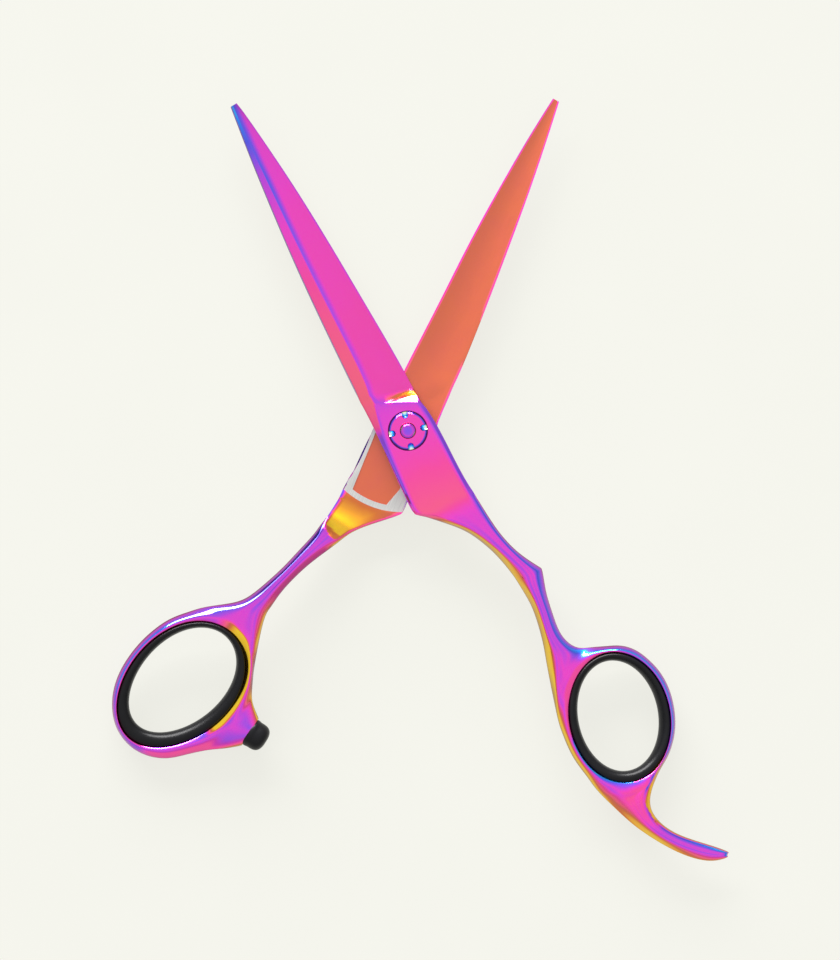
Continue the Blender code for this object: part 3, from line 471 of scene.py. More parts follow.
def settle_on_points(half, rounds=8):
    """Shifts the cage until its smooth surface passes through the points it was given."""
    goals = [vertex.co.copy() for vertex in half.data.vertices]
    for _ in range(rounds):
        bpy.context.view_layer.update()
        evaluated = half.evaluated_get(bpy.context.evaluated_depsgraph_get())
        smooth = evaluated.to_mesh()
        moves = [goal - smooth.vertices[i].co for i, goal in enumerate(goals)]
        evaluated.to_mesh_clear()
        for vertex, move in zip(half.data.vertices, moves):
            vertex.co += move
        half.data.update()


def forged_half(name, rows, ring, join, side_join, side_rows, flat_end=False,
                inner_ridges=(), peaks=(), flares=()):
    """Blade, body, shank, ring and the ring's tang or boss, as one forging."""
    bm = bmesh.new()
    sections = [add_row(bm, section) for section in rows]
    sectors = add_ring(bm, ring, (join, side_join), dict(flares))
    cap_row(bm, sections[0])
    add_strip(bm, [*sections, row_of_ring(sectors, join)])
    branch = [add_row(bm, section) for section in side_rows]
    add_strip(bm, [row_of_ring(sectors, side_join), *branch])
    cap_row(bm, branch[-1])
    if flat_end:
        end = branch[-1]
        loop = [*end.tops, *reversed(end.bottoms), end.tops[0]]
        crease(bm, loop, 0.7)
    crease_half(bm, sections, sectors, inner_ridges, peaks)
    half = object_from(bm, name)
    smooth = smoothed(half, 1)
    settle_on_points(half)
    smooth.levels = smooth.render_levels = SMOOTH_LEVELS
    return half


def boss_row(left, right, half_height):
    """A rounded section of the boss that carries the bumper, four points wide."""
    fractions = (0.0, 0.33, 0.67, 1.0)
    shares = (0.45, 1.0, 1.0, 0.45)
    tops, bottoms = [], []
    for fraction, share in zip(fractions, shares):
        plan = across(left, right, fraction)
        middle = THUMB_RING.plane(plan)
        tops.append((*plan, middle + share * half_height))
        bottoms.append((*plan, middle - share * half_height))
    return row(tops, bottoms)


def turned(name, profile, sides=ROUND_SIDES):
    """A solid of revolution about Z, from (radius, height) points going up its outside."""
    bm = bmesh.new()
    loops = []
    for radius, height in profile:
        turns = (2 * pi * k / sides for k in range(sides))
        loops.append(add_points(bm, [Vector((radius * cos(a), radius * sin(a), height))
                                     for a in turns]))
    closed = profile[0] == profile[-1]
    for lower, upper in zip(loops, loops[1:]):
        skin(bm, lower, upper)
    if closed:
        bmesh.ops.remove_doubles(bm, verts=bm.verts, dist=1e-6)
    else:
        bm.faces.new(loops[0])
        bm.faces.new(loops[-1])
    return object_from(bm, name)


def drum(name, radius, foot, top):
    return turned(name, ((radius, foot), (radius, top)))


def block(name, size, centre, turn=0.0):
    bm = bmesh.new()
    bmesh.ops.create_cube(bm, size=1.0)
    bmesh.ops.scale(bm, vec=Vector(size) * MM, verts=bm.verts)
    bmesh.ops.rotate(bm, matrix=Matrix.Rotation(turn, 3, "Z"), verts=bm.verts)
    bmesh.ops.translate(bm, vec=Vector(centre) * MM, verts=bm.verts)
    return object_from(bm, name)


def arc(centre, radius, start, end, steps):
    """Plan points along a circular arc, from one angle to the other in degrees."""
    turns = (radians(start + (end - start) * k / steps) for k in range(steps + 1))
    return [Vector((centre[0] + radius * cos(a), centre[1] + radius * sin(a)))
            for a in turns]


def rounded(corners, radius, steps=6):
    """A closed outline with each corner rounded off."""
    outline = []
    count = len(corners)
    for k, corner in enumerate(corners):
        corner = Vector(corner)
        before = (Vector(corners[k - 1]) - corner).normalized()
        after = (Vector(corners[(k + 1) % count]) - corner).normalized()
        half = before.angle(after) / 2
        reach = radius / tan(half)
        start, end = corner + reach * before, corner + reach * after
        for step in range(steps + 1):
            t = step / steps
            outline.append((1 - t) ** 2 * start + 2 * t * (1 - t) * corner + t ** 2 * end)
    return outline


def prism(name, outline, foot, top):
    """A straight-sided solid over a plan outline."""
    bm = bmesh.new()
    low = add_points(bm, [Vector((*p, foot)) for p in outline])
    high = add_points(bm, [Vector((*p, top)) for p in outline])
    skin(bm, low, high)
    bm.faces.new(low)
    bm.faces.new(high)
    return object_from(bm, name)


def carved(thing, cutters=()):
    """Cuts tools out of a thing, turns it into a plain mesh and removes the tools."""
    for cutter in cutters:
        modifier = thing.modifiers.new(cutter.name, "BOOLEAN")
        modifier.operation = "DIFFERENCE"
        modifier.object = cutter
        modifier.solver = "EXACT"
    bpy.context.view_layer.update()
    evaluated = thing.evaluated_get(bpy.context.evaluated_depsgraph_get())
    mesh = bpy.data.meshes.new_from_object(evaluated)
    thing.modifiers.clear()
    thing.data = mesh
    for cutter in cutters:
        bpy.data.objects.remove(cutter, do_unlink=True)
    mesh.shade_smooth()
    mesh.set_sharp_from_angle(angle=radians(SHARP_ANGLE))
    return thing


def place_along(thing, seat, axis):
    """Turns a piece made along Z to lie along a plan direction, its foot at the seat."""
    direction = Vector((*axis, 0.0)).normalized()
    foot = Vector((*seat, THUMB_RING.plane(seat)))
    turn = direction.to_track_quat("Z", "Y").to_matrix().to_4x4()
    thing.data.transform(Matrix.Translation(foot * MM) @ turn)


def world_of(swing, turned_over):
    """The matrix that carries a piece from its half's flat frame to where it lies."""
    over = Matrix.Rotation(pi, 4, "Y") if turned_over else Matrix.Identity(4)
    swung = Matrix.Rotation(radians(swing), 4, "Z")
    return Matrix.Translation(Vector((0, 0, MEETING_HEIGHT)) * MM) @ swung @ over


def ride_pocket(edge_top, edge, side, side_top):
    """The pocket ground inside a half, running out into the blade's hollow towards the tip.

    It leaves an island round the pivot, and a bare strip along the body's edge, foot and side.
    """
    start, end = (degrees(atan2(y, x - RIDE_CENTRE)) for x, y in (edge, side))
    foot = arc((RIDE_CENTRE, 0.0), POCKET_ARC, start, end, 6)
    outline = rounded(((3.4, 12.0), (edge_top, 2.0), (edge_top, -3.0), *foot, side_top,
                       (side_top[0] + 0.2, 2.0), (-2.4, 12.0)), 0.3)
    pocket = prism("ride_pocket", outline, -1.0, RIDE_GAP + POCKET_DEPTH)
    island = drum("pivot_island", POCKET_ISLAND, -2.0, 2.0)
    return carved(pocket, (island,))


def insert_ring(name, ring, shown_side):
    """A rubber liner with rounded faces, its wall leaning back where it can be seen."""
    full = [*INSERT_PROFILE, *((f, -z) for f, z in reversed(INSERT_PROFILE))]
    bm = bmesh.new()
    loops = []
    for k in range(INSERT_SECTORS):
        angle = 2 * pi * k / INSERT_SECTORS
        outside, inside = ring.hole(angle, INSERT_GRIP), ring.clear(angle)
        lean = ring.lean * max(0.0, ring.outward(angle).dot(ring.lean.normalized()))
        loop = []
        for fraction, height in full:
            plan = outside.lerp(inside, fraction)
            plan += lean * fraction * max(0.0, height * shown_side)
            middle = ring.plane(plan)
            loop.append(Vector((*plan, middle + height * RING_HALF_HEIGHT)))
        loops.append(add_points(bm, loop))
    for here, after in zip(loops, loops[1:] + loops[:1]):
        skin(bm, here, after)
    liner = object_from(bm, name)
    smoothed(liner, INSERT_LEVELS)
    carved(liner)
    liner.data.set_sharp_from_angle(angle=pi)
    return liner


def corner_arc(centre, radius, start, end, steps=6):
    """Profile points round a turned edge, as (radius, height)."""
    return [tuple(p) for p in arc(centre, radius, start, end, steps)]


def dome(radius, foot, height, blunt, last, step):
    """Profile points up a dome, out to the last angle in degrees; blunt below 1 squares it off."""
    turns = (radians(turn) for turn in range(0, last, step))
    return [(radius * cos(a) ** blunt, foot + height * sin(a) ** blunt) for a in turns]


def bumper(name):
    """The rubber silencer: a flared dome on a stem that plugs into the boss."""
    foot, radius = 1.2, 2.68
    profile = ((BUMPER_STEM_RADIUS, -BUMPER_STEM_LENGTH), (BUMPER_STEM_RADIUS, BUMPER_SINK),
               (2.7, BUMPER_SINK), (2.76, BUMPER_SINK + 0.08), (2.78, 0.2), (2.76, 0.4),
               (2.71, 0.58), (radius, 0.78), (radius, 1.0),
               *dome(radius, foot, BUMPER_LENGTH - foot, 0.72, 88, 6))
    thing = turned(name, profile)
    place_along(thing, Vector(BUMPER_SEAT), BUMPER_AXIS)
    thing.data.shade_smooth()
    thing.data.set_sharp_from_angle(angle=radians(BUMPER_SHARP_ANGLE))
    return thing


def pivot_stud(name):
    """Flat head underneath, square neck in the thumb half, round shaft and domed end."""
    head_foot = -MEETING_HEIGHT
    head_top = head_foot + STUD_HEAD_THICKNESS
    low, high, neck = STUD_EDGE, STUD_RIM, STUD_SQUARE * NECK_SHARE
    profile = (*corner_arc((STUD_HEAD_RADIUS - low, head_foot + low), low, -90, 0),
               *corner_arc((STUD_HEAD_RADIUS - high, head_top - high), high, 0, 90, 3),
               (neck, head_top), (neck, STUD_SHOULDER),
               (STUD_SHAFT_RADIUS, STUD_SHOULDER), (STUD_SHAFT_RADIUS, STUD_END_FOOT),
               (STUD_END_RADIUS, STUD_END_FOOT),
               *dome(STUD_END_RADIUS, STUD_END_TOP, STUD_DOME, 1, 86, 8))
    stud = turned(name, profile)
    cutters = []
    height = STUD_SHOULDER - head_top + 0.1
    reach = STUD_SQUARE / 2 + 1.0
    for k in range(4):
        angle = pi / 2 * k
        centre = (reach * cos(angle), reach * sin(angle), head_top + height / 2)
        cutters.append(block(f"neck_flat_{k}", (2.0, 6.0, height), centre, angle))
    return carved(stud, cutters)


def ball_slot(name, start, end, foot, top, angle):
    """A slot left by a ball-ended cutter that moved outwards from a start radius."""
    profile = [(NOTCH_RADIUS * sin(a), foot + NOTCH_RADIUS * (1 - cos(a)))
               for a in (radians(d) for d in range(0, 91, 10))]
    profile.append((NOTCH_RADIUS, top))
    stations = [(end, 90), *((start, d) for d in range(90, 271, 15)), (end, 270)]
    bm = bmesh.new()
    ribs = []
    for offset, turn in stations:
        a = radians(turn)
        ribs.append(add_points(bm, [Vector((offset + r * cos(a), r * sin(a), z))
                                    for r, z in profile]))
    for here, after in zip(ribs, ribs[1:]):
        for i in range(len(profile) - 1):
            bm.faces.new((here[i], after[i], after[i + 1], here[i + 1]))
    bm.faces.new([rib[-1] for rib in ribs])
    bm.faces.new((*ribs[0], *reversed(ribs[-1])))
    bmesh.ops.remove_doubles(bm, verts=bm.verts, dist=1e-7)
    bmesh.ops.dissolve_degenerate(bm, edges=bm.edges, dist=1e-7)
    slot = object_from(bm, name)
    slot.data.transform(Matrix.Rotation(radians(angle), 4, "Z"))
    return slot


def tension_dial(name):
    """The round nut that sets the tension, with a bevelled rim and four milled notches."""
    top = DIAL_TOP
    rim, shoulder, lip = DIAL_RIM_ROUND, DIAL_SHOULDER_ROUND, DIAL_LIP_ROUND
    profile = ((DIAL_BORE_RADIUS, DIAL_FOOT), (DIAL_RADIUS, DIAL_FOOT),
               *corner_arc((DIAL_RADIUS - rim, top - DIAL_BEVEL), rim, 0, 45, 3),
               *corner_arc((DIAL_RADIUS - DIAL_BEVEL, top - shoulder), shoulder, 48, 90, 5),
               *corner_arc((DIAL_BORE_RADIUS + DIAL_LIP_WIDTH, top - lip), lip, 90, 140, 3),
               (DIAL_BORE_RADIUS, top - DIAL_LIP_DEPTH), (DIAL_BORE_RADIUS, DIAL_FOOT))
    dial = turned(name, profile)
    return carved(dial, [
        ball_slot(f"dial_notch_{k}", NOTCH_REACH, DIAL_RADIUS + 0.5, top - NOTCH_DEPTH,
                  top + 0.5, DIAL_NOTCH_START + 90 * k) for k in range(DIAL_NOTCHES)])


# ---------------------------------------------------------------- coating colour

TINY = 1e-6
# Film thicknesses, and the tilt and the width by which flat faces and keen edges are told apart
GOLD, ORANGE, PINK, MAGENTA, VIOLET = 0.08, 0.26, 0.5, 0.6, 0.77
FLAT_FACE = 0.97
CHAMFER_WIDTH = 0.4
# The satin patch on the finger ring: its centre and its spread
SATIN_CENTRE, SATIN_SPREAD = (10.0, -53.1), 4


def rise(low, high, value):
    """0 below low, 1 above high, and smooth between."""
    t = np.clip((value - low) / (high - low), 0.0, 1.0)
    return t * t * (3 - 2 * t)


def band(start, full, fading, gone, value):
    """1 from full to fading, smooth on either side, and 0 before start and after gone."""
    return rise(start, full, value) * (1 - rise(fading, gone, value))


def mix(a, b, share):
    return a + (b - a) * share


def slope_of(height):
    """Degrees away from the direction along which a unit normal has this component."""
    return np.degrees(np.arccos(np.clip(np.abs(height), 0, 1)))


def tilt_of(normals, x, y):
    """Signed tilt of each normal towards a plan direction, in degrees."""
    lean = normals[:, 0] * x + normals[:, 1] * y
    return np.degrees(np.arctan2(lean, np.abs(normals[:, 2])))


# Film against slope on the rounded handles: on the side that faces the ring's chosen way, and away
TOWARDS = ((0, 0.6), (10, 0.7), (20, 0.84), (28, 0.94), (40, 1.0), (50, 0.93), (58, 0.8),
           (68, 0.66), (78, 0.5), (90, 0.42))
AWAY = ((0, 0.6), (8, 0.66), (18, 0.7), (28, 0.6), (38, 0.48), (46, 0.38), (52, 0.26),
        (57, 0.14), (62, 0.06), (90, 0.03))
# X and Y of plan lines: the foot of the blade's heel facet, and the end of the scoop inside the
# thumb half, which is cut by the circle of its lip
FACET_FOOT = ((-0.6, 3.7, 4.76), (6.5, 5.75, 5.25))
SCOOP_END = ((2.97, 6.59), (-23.96, -22.71))
LIP_CENTRE, LIP_RADIUS = (4.42, -22.2), 2.4
# Film along the blade's bevel, against Y
BEVEL_FILM = ((0.5, 0.74), (3.5, 0.45), (9, 0.37), (17, 0.4), (27, 0.45), (36, 0.52), (47, 0.62),
              (56, 0.7), (61, 0.84), (69, 0.96))


class Film:
    """Thickness of the coating all over one half, from points and normals in its flat frame.

    The handle is bluest on the side that faces one way in plan. The ring's flats, the wall round
    its hole and its steep far side have films of their own.
    """

    def __init__(self, rows, ring, turn, towards, flats, wall, ring_steep):
        self.rows = rows
        self.ring = ring
        self.turn = turn
        self.towards = towards
        self.flats = flats
        self.wall = wall
        self.ring_steep = ring_steep

    def outline(self, column, y, side="bottoms"):
        """X of one lengthwise line of the half's sections, at each Y."""
        places = sorted((p[column].y, p[column].x) for p in (getattr(r, side) for r in self.rows))
        return np.interp(y, *zip(*places))

    def facing(self, points, normals):
        """Slope away from the ring's own plane, and 1 on the side that faces the chosen way."""
        y = points[:, 1]
        near_body = rise(-50, -35, y)[:, None]
        up = mix(np.array(self.ring.normal()), np.array((0.0, 0.0, 1.0)), near_body)
        height = (normals * up).sum(1)
        lean = (normals - height[:, None] * up) @ self.turn.T
        facing = lean[:, :2] @ np.array(self.towards) / (np.hypot(*lean.T[:2]) + TINY)
        return slope_of(height), rise(-0.15, 0.45, facing)

    def handle(self, points, normals):
        """Blue on the side of the rounded handle that faces one way, gold on the far side, and
        painted shade on its steepest slopes.
        """
        y = points[:, 1]
        slope, share = self.facing(points, normals)
        on_ring = 1 - rise(-56, -48, y)
        away = np.interp(slope, *zip(*AWAY))
        off_boss = rise(6.0, 9.0, points[:, 0])
        away = mix(away, np.maximum(away, self.ring_steep), on_ring * off_boss)
        film = mix(away, np.interp(slope, *zip(*TOWARDS)), share)
        film += (self.flats - MAGENTA) * on_ring * (1 - rise(6, 20, slope))
        film -= 0.1 * (1 - on_ring) * rise(0.7, 0.9, film)
        rel = points[:, :2] - np.array(self.ring.centre)
        along, across = rel @ np.array(self.ring.along), rel @ np.array(self.ring.across)
        reach = np.hypot(along / self.ring.long_radius, across / self.ring.short_radius)
        holeward = -(normals[:, :2] * rel).sum(1) / (np.hypot(*rel.T) + TINY)
        bearing = np.degrees(np.arctan2(across, along))
        wall = (1 - rise(1.1, 1.17, reach)) * rise(0.1, 0.3, holeward)
        wall = wall * band(-20, 0, 94, 110, bearing)
        film = mix(film, self.wall, wall)
        # Painted shade darkens the steepest slopes, most on the side that faces the chosen way,
        # standing in for the dark things they reflect
        shade = mix(0.35 * rise(66, 84, slope), 0.75 * rise(64, 82, slope), share)
        return film, shade * (1 - wall)

    def outside(self, points, normals):
        """The outer face of the blade and the body, with its bevels and the scoop between."""
        x, y, _ = points.T
        spineward = tilt_of(normals, -1, 0)
        facet = rise(8, 14, spineward)
        blade = np.interp(spineward, (-60, -30, -12, -3, 8), (0.62, 0.53, 0.55, 0.76, 0.76))
        blade = blade + np.interp(y, (20, 45, 65), (0.0, 0.03, 0.1))
        beside = 1 - rise(0.0, 1.3, x - self.outline(1, y, "tops"))
        blade = mix(blade, np.interp(y, (10, 35, 55), (0.7, 0.76, 0.86)), beside * (1 - facet))
        blade = mix(blade, np.interp(y, *zip(*BEVEL_FILM)), facet)
        blade = mix(blade, 0.8, rise(40, 70, spineward))
        keen = rise(0.3, 0.12, self.outline(4, y) - x) * rise(9, 12, y)
        blade = mix(blade, 0.68, keen)
        beyond = y - np.interp(x, *FACET_FOOT)
        foot = band(-0.4, -0.2, 0.95, 1.35, beyond)
        foot = foot * rise(-1.4, -0.6, x) * (1 - facet)
        blade = mix(blade, np.interp(beyond, (0.0, 0.45, 0.8, 1.15), (0.03, 0.03, 0.1, 0.4)), foot)
        face = np.interp(y, (-24, -16, -8, 2, 8), (0.62, 0.42, 0.5, 0.61, 0.65))
        side = np.interp(np.abs(spineward), (0, 8, 20, 45, 75), (0.0, 0.12, 0.3, 0.34, 0.1))
        footward = rise(10, 25, tilt_of(normals, -0.6, -0.8)) * rise(12, 15, -y)
        body = mix(np.minimum(face + side, 0.78), PINK, footward)
        above = mix(rise(4.5, 8.5, y + 0.45 * x), rise(0.5, 3.0, y), facet)
        return mix(body, blade, above)

    def inside(self, points, normals):
        """The flat ground face: orange, pink along its edges, gold in the scoop at its foot."""
        x, y, z = points.T
        slope = slope_of(normals[:, 2])
        rim = np.minimum(x - self.outline(0, y), self.outline(4, y) - x)
        radius = np.hypot(x - RIDE_CENTRE, y)
        below = rise(RIDE_ARC - 0.1, RIDE_ARC + 0.2, radius) * (y < 0)
        floor = np.abs(z - RIDE_GAP - POCKET_DEPTH) < 0.01
        edge = (1 - rise(0.12, mix(0.36, 0.9, below), rim)) * (1 - floor)
        keen = self.outline(4, y) - x
        chamfer = rise(8, 14, slope) * (keen < CHAMFER_WIDTH) * (y < BARE_TOP)
        flat = mix(mix(ORANGE, MAGENTA, edge), 0.86, np.maximum(chamfer, rise(14, 24, slope)))
        scoop = np.interp(radius, (16, 17.5, 19.5, 23), (0.23, 0.18, 0.12, 0.06))
        scoop = np.maximum(scoop, np.interp(x, (-5.0, 4.5), (0.32, 0.04)))
        scoop = mix(scoop, 0.2, rise(-0.1, 0.1, np.interp(x, *SCOOP_END) - y))
        outer = 1 - rise(0.05, 0.5, keen)
        return mix(flat, mix(scoop, mix(PINK, 0.82, outer), edge), below)

    def all_over(self, points, normals):
        """Film at each point, where the steel was left satin by grinding, and its painted shade."""
        x, y, z = points.T
        inward = rise(0.55, 0.8, -normals[:, 2])
        blade = mix(self.outside(points, normals), self.inside(points, normals), inward)
        past_lip = np.hypot(x - LIP_CENTRE[0], y - LIP_CENTRE[1]) - LIP_RADIUS
        past_lip = rise(-0.05, 0.07, past_lip) * rise(-0.05, 0.1, np.interp(x, *SCOOP_END) - y)
        on_handle = mix(1 - rise(-20.0, -15.0, y), past_lip, inward)
        ground = rise(0.9, FLAT_FACE, -normals[:, 2]) * (1 - on_handle)
        handle, shade = self.handle(points, normals)
        # Painted shade darkens the recess of the dial's seat, the gap round the dial
        in_seat = (z > DIAL_POCKET_FLOOR - 0.1) * (np.hypot(x, y) < DIAL_POCKET_RADIUS + 0.01)
        shade = np.maximum(shade * on_handle, 0.85 * in_seat * (z < BODY_TOP - 0.01))
        # Painted shade darkens the steep side walls of the blade and the body
        walls = rise(60, 75, np.abs(tilt_of(normals, -1, 0))) * (1 - inward)
        shade = np.maximum(shade, 0.35 * walls * (1 - on_handle))
        slope = slope_of(normals[:, 2])
        # Painted shade draws a dark line along the chamfer beside the bare strip
        chamfer = rise(4, 8, slope) * (self.outline(4, y) - x < CHAMFER_WIDTH)
        chamfer = chamfer * (normals[:, 2] < -0.05) * rise(-15.6, -15.0, y) * (y < BARE_TOP)
        shade = np.maximum(shade, 0.8 * chamfer)
        beyond = y - np.interp(x, *FACET_FOOT)
        foot = band(-0.1, 0.15, 1.2, 1.9, beyond)
        ground = np.maximum(ground, 0.55 * foot * (x > -1.2) * (1 - inward))
        return mix(blade, handle, on_handle), ground, shade


def film_of_finger(film, points, normals):
    """The finger half's coating: its tang is gold at the root and bluer towards the tip."""
    values, ground, shade = film.all_over(points, normals)
    x, y, _ = points.T
    outer_side = tilt_of(normals, 0.93, 0.37)
    on_tang = 1 - rise(-85.5, -82.5, y)
    values = values - np.interp(x, (5, 15), (0.22, 0.0)) * rise(0.7, 0.9, values) * on_tang
    slope = slope_of(normals[:, 2])
    web = band(-91, -86, -82, -79, y)
    values = values - 0.15 * web * (1 - rise(16, 32, slope))
    values = mix(values, np.interp(outer_side, (53, 59, 65), (0.4, 0.22, 0.06)),
                 rise(43, 53, outer_side) * on_tang)
    root = band(-90, -87, -80, -78, y) * (x > 7)
    values = mix(values, GOLD, root * rise(16, 26, outer_side))
    far = rise(12, 14, x) * band(-80, -77, -58, -55, y)
    values = mix(values, VIOLET, far * rise(8, 18, -outer_side))
    low = 1 - rise(-76, -72, y)
    away = np.hypot(x - SATIN_CENTRE[0], y - SATIN_CENTRE[1])
    bright = np.exp(-away ** 2 / SATIN_SPREAD)
    ground = np.maximum(ground, np.maximum(bright, 0.5 * low * (1 - on_tang)))
    return values, ground, shade


def film_of_thumb(film, points, normals):
    """The thumb half's coating: painted shade darkens its shank where it is brightest on the finger
    half.
    """
    values, ground, shade = film.all_over(points, normals)
    y = points[:, 1]
    slope, share = film.facing(points, normals)
    # Painted shade darkens the shank's slopes that face the chosen way, where a highlight would fall
    shank = band(-44, -38, -24, -22, y)
    streak = share * band(16, 26, 56, 66, slope)
    shade = np.maximum(shade, 0.8 * shank * streak)
    # On the shank's far side the film is pinker, with painted shade on its steeper slopes
    under = shank * (1 - share) * (1 - rise(-27.5, -25.5, y))
    values = mix(values, np.maximum(values, 0.52), under)
    shade = np.maximum(shade, 0.45 * under * rise(34, 50, slope))
    low = share * (1 - rise(-72, -66, y))
    values = mix(values, np.minimum(values, 0.74), low)
    ground = np.maximum(ground, 0.6 * low)
    return values, ground, shade


def film_of_turned(points, normals):
    """The dial and the stud: pink faces, violet slopes, blue to pale yellow in the notches, and
    painted shade deep in the notches and in the bore round the stud's end.
    """
    slope = slope_of(normals[:, 2])
    x, y, height = points.T
    radius = np.hypot(x, y)
    film = np.interp(slope, (0, 10, 25, 45, 65, 90), (0.54, 0.6, 0.74, 0.82, 0.92, 0.97))
    film = mix(film, 0.27, (radius > 1.4) * (radius < 1.8) * rise(6, 30, slope))
    film = mix(film, np.interp(slope, (0, 12, 20), (0.8, 0.76, 0.66)), radius < 1.4)
    surface = np.interp(radius, (DIAL_RADIUS - DIAL_BEVEL, DIAL_RADIUS),
                        (DIAL_TOP, DIAL_TOP - DIAL_BEVEL))
    milled = (height < surface - 0.03) * (height > DIAL_TOP - NOTCH_DEPTH - 0.01)
    outward = (normals[:, 0] * x + normals[:, 1] * y) / (radius + TINY)
    milled = milled * (radius > 2.0) * (radius < DIAL_RADIUS + 0.01) * (outward < 0.7)
    notch = np.interp(radius, (2.4, 2.75, 3.0, 3.25, 3.6), (0.86, 0.9, 1.0, 1.12, 1.2))
    # Painted shade deep in the notches and in the gap of the bore round the stud's end
    deep = np.interp(radius, (2.45, 2.9), (0.6, 0.0))
    gap = (radius > 1.3) * (radius < 1.55) * (height < DIAL_TOP - 0.2)
    shade = np.maximum(milled * deep, 0.6 * gap)
    return mix(film, notch, milled), np.zeros(len(film)), shade


def lay_film(thing, film):
    """Stores the film's thickness, from 0 (gold) to 1 (cyan) and on, the share left satin and the
    painted shade, at every face corner.
    """
    mesh = thing.data
    corners = len(mesh.loops)
    places = np.zeros(len(mesh.vertices) * 3, np.float32)
    mesh.vertices.foreach_get("co", places)
    index = np.zeros(corners, np.int32)
    mesh.loops.foreach_get("vertex_index", index)
    normals = np.zeros(corners * 3, np.float32)
    mesh.corner_normals.foreach_get("vector", normals)
    points = places.reshape(-1, 3)[index] / MM
    found = film(points.astype(float), normals.reshape(-1, 3).astype(float))
    for label, values in zip(("film", "ground", "shade"), found):
        layer = mesh.attributes.new(label, "FLOAT", "CORNER")
        layer.data.foreach_set("value", values.astype(np.float32))


# ---------------------------------------------------------------- materials

def srgb(red, green, blue):
    """Linear colour from 0-255 sRGB numbers."""
    linear = []
    for part in (red, green, blue):
        c = part / 255
        linear.append(c / 12.92 if c <= 0.04045 else ((c + 0.055) / 1.055) ** 2.4)
    return (*linear, 1.0)


class Nodes:
    """Builds the nodes of one tree, each input fed by another node's socket or by a number."""

    def __init__(self, tree):
        self.tree = tree

    def add(self, kind, inputs=(), **settings):
        made = self.tree.nodes.new(kind)
        for key, value in settings.items():
            setattr(made, key, value)
        self.feed(made, inputs)
        return made

    def feed(self, node, inputs):
        for key, value in dict(inputs).items():
            if isinstance(value, bpy.types.NodeSocket):
                self.tree.links.new(value, node.inputs[key])
            else:
                node.inputs[key].default_value = value

    def math(self, operation, first, second=0.0, third=0.0):
        made = self.add("ShaderNodeMath", {0: first, 1: second, 2: third}, operation=operation)
        return made.outputs[0]

    def distance(self, x, y):
        across = self.math("MULTIPLY", y, y)
        return self.math("SQRT", self.math("MULTIPLY_ADD", x, x, across))

    def rise(self, value, low, high, start=0.0, end=1.0):
        made = self.add("ShaderNodeMapRange", {"Value": value, "From Min": low, "From Max": high,
                                               "To Min": start, "To Max": end})
        return made.outputs[0]

    def ramp(self, value, stops):
        made = self.add("ShaderNodeValToRGB", {0: value})
        elements = made.color_ramp.elements
        while len(elements) < len(stops):
            elements.new(0.5)
        for element, (place, colour) in zip(elements, stops):
            element.position = place
            element.color = colour
        return made.outputs[0]

    def noise(self, vector, scale, detail=2.0, roughness=0.5):
        made = self.add("ShaderNodeTexNoise", {"Vector": vector, "Scale": scale,
                                               "Detail": detail, "Roughness": roughness})
        return made.outputs[0]

    def blend(self, share, first, second):
        made = self.add("ShaderNodeMix", {0: share, 6: first, 7: second}, data_type="RGBA")
        return made.outputs[2]

    def stretched(self, vector, scale):
        made = self.add("ShaderNodeMapping", {"Vector": vector, "Scale": scale})
        return made.outputs[0]

    def bump(self, height, strength, distance):
        made = self.add("ShaderNodeBump", {"Height": height, "Strength": strength,
                                           "Distance": distance})
        return made.outputs[0]


def new_material(name):
    material = bpy.data.materials.new(name)
    material.use_nodes = True
    shader = material.node_tree.nodes["Principled BSDF"]
    return material, shader, Nodes(material.node_tree)


# Colour that the coating reflects, against the film's thickness
FILM_SPAN = 1.25
# The colour towards which painted shade darkens the coating
PAINTED_SHADE_TINT = srgb(26, 14, 52)
# How the film drifts over the steel: the noise's scale and detail, and the whole swing
FILM_DRIFTS = ((90.0, 2.0, 0.05), (700.0, 3.0, 0.016))
# Roughness that grinding adds, and the clear coat lost where the painted shade is darkest
GROUND_ROUGHNESS = 0.32
COAT_LOSS = 0.95
INTERFERENCE = (
    (0.0, srgb(250, 226, 0)), (0.1, srgb(238, 172, 0)), (0.2, srgb(208, 108, 26)),
    (0.28, srgb(201, 88, 70)), (0.38, srgb(248, 90, 124)), (0.5, srgb(245, 59, 158)),
    (0.6, srgb(236, 50, 198)), (0.7, srgb(188, 54, 218)), (0.79, srgb(134, 66, 230)),
    (0.87, srgb(74, 78, 226)), (0.94, srgb(16, 124, 240)), (1.0, srgb(28, 192, 248)),
    (1.1, srgb(206, 238, 250)), (1.2, srgb(250, 250, 184)))


def ride_faces(nodes, place, half_world):
    """1 where a half is left bare: the flat strip and island inside, on which the halves ride."""
    x, y, z = nodes.add("ShaderNodeSeparateXYZ", {0: place}).outputs
    normal = nodes.add("ShaderNodeNewGeometry").outputs["Normal"]
    turned_back = nodes.add("ShaderNodeVectorTransform", {0: normal}, vector_type="NORMAL",
                            convert_from="WORLD", convert_to="OBJECT").outputs[0]
    facing = nodes.add("ShaderNodeSeparateXYZ", {0: turned_back}).outputs[2]
    inside = -half_world.to_3x3().col[2].z
    inward = nodes.math("GREATER_THAN", nodes.math("MULTIPLY", facing, inside), FLAT_FACE)
    level = nodes.math("LESS_THAN", z, (RIDE_GAP + POCKET_DEPTH / 2) * MM)
    from_centre = nodes.math("SUBTRACT", x, RIDE_CENTRE * MM)
    within = nodes.math("LESS_THAN", nodes.distance(from_centre, y), RIDE_ARC * MM)
    low = nodes.math("MINIMUM", nodes.math("SUBTRACT", y, BARE_TOP * MM),
                     nodes.math("SUBTRACT", nodes.distance(x, y), (POCKET_ISLAND + 0.1) * MM))
    below = nodes.math("LESS_THAN", low, 0.0)
    return nodes.math("MULTIPLY", nodes.math("MULTIPLY", inward, level),
                      nodes.math("MULTIPLY", within, below))


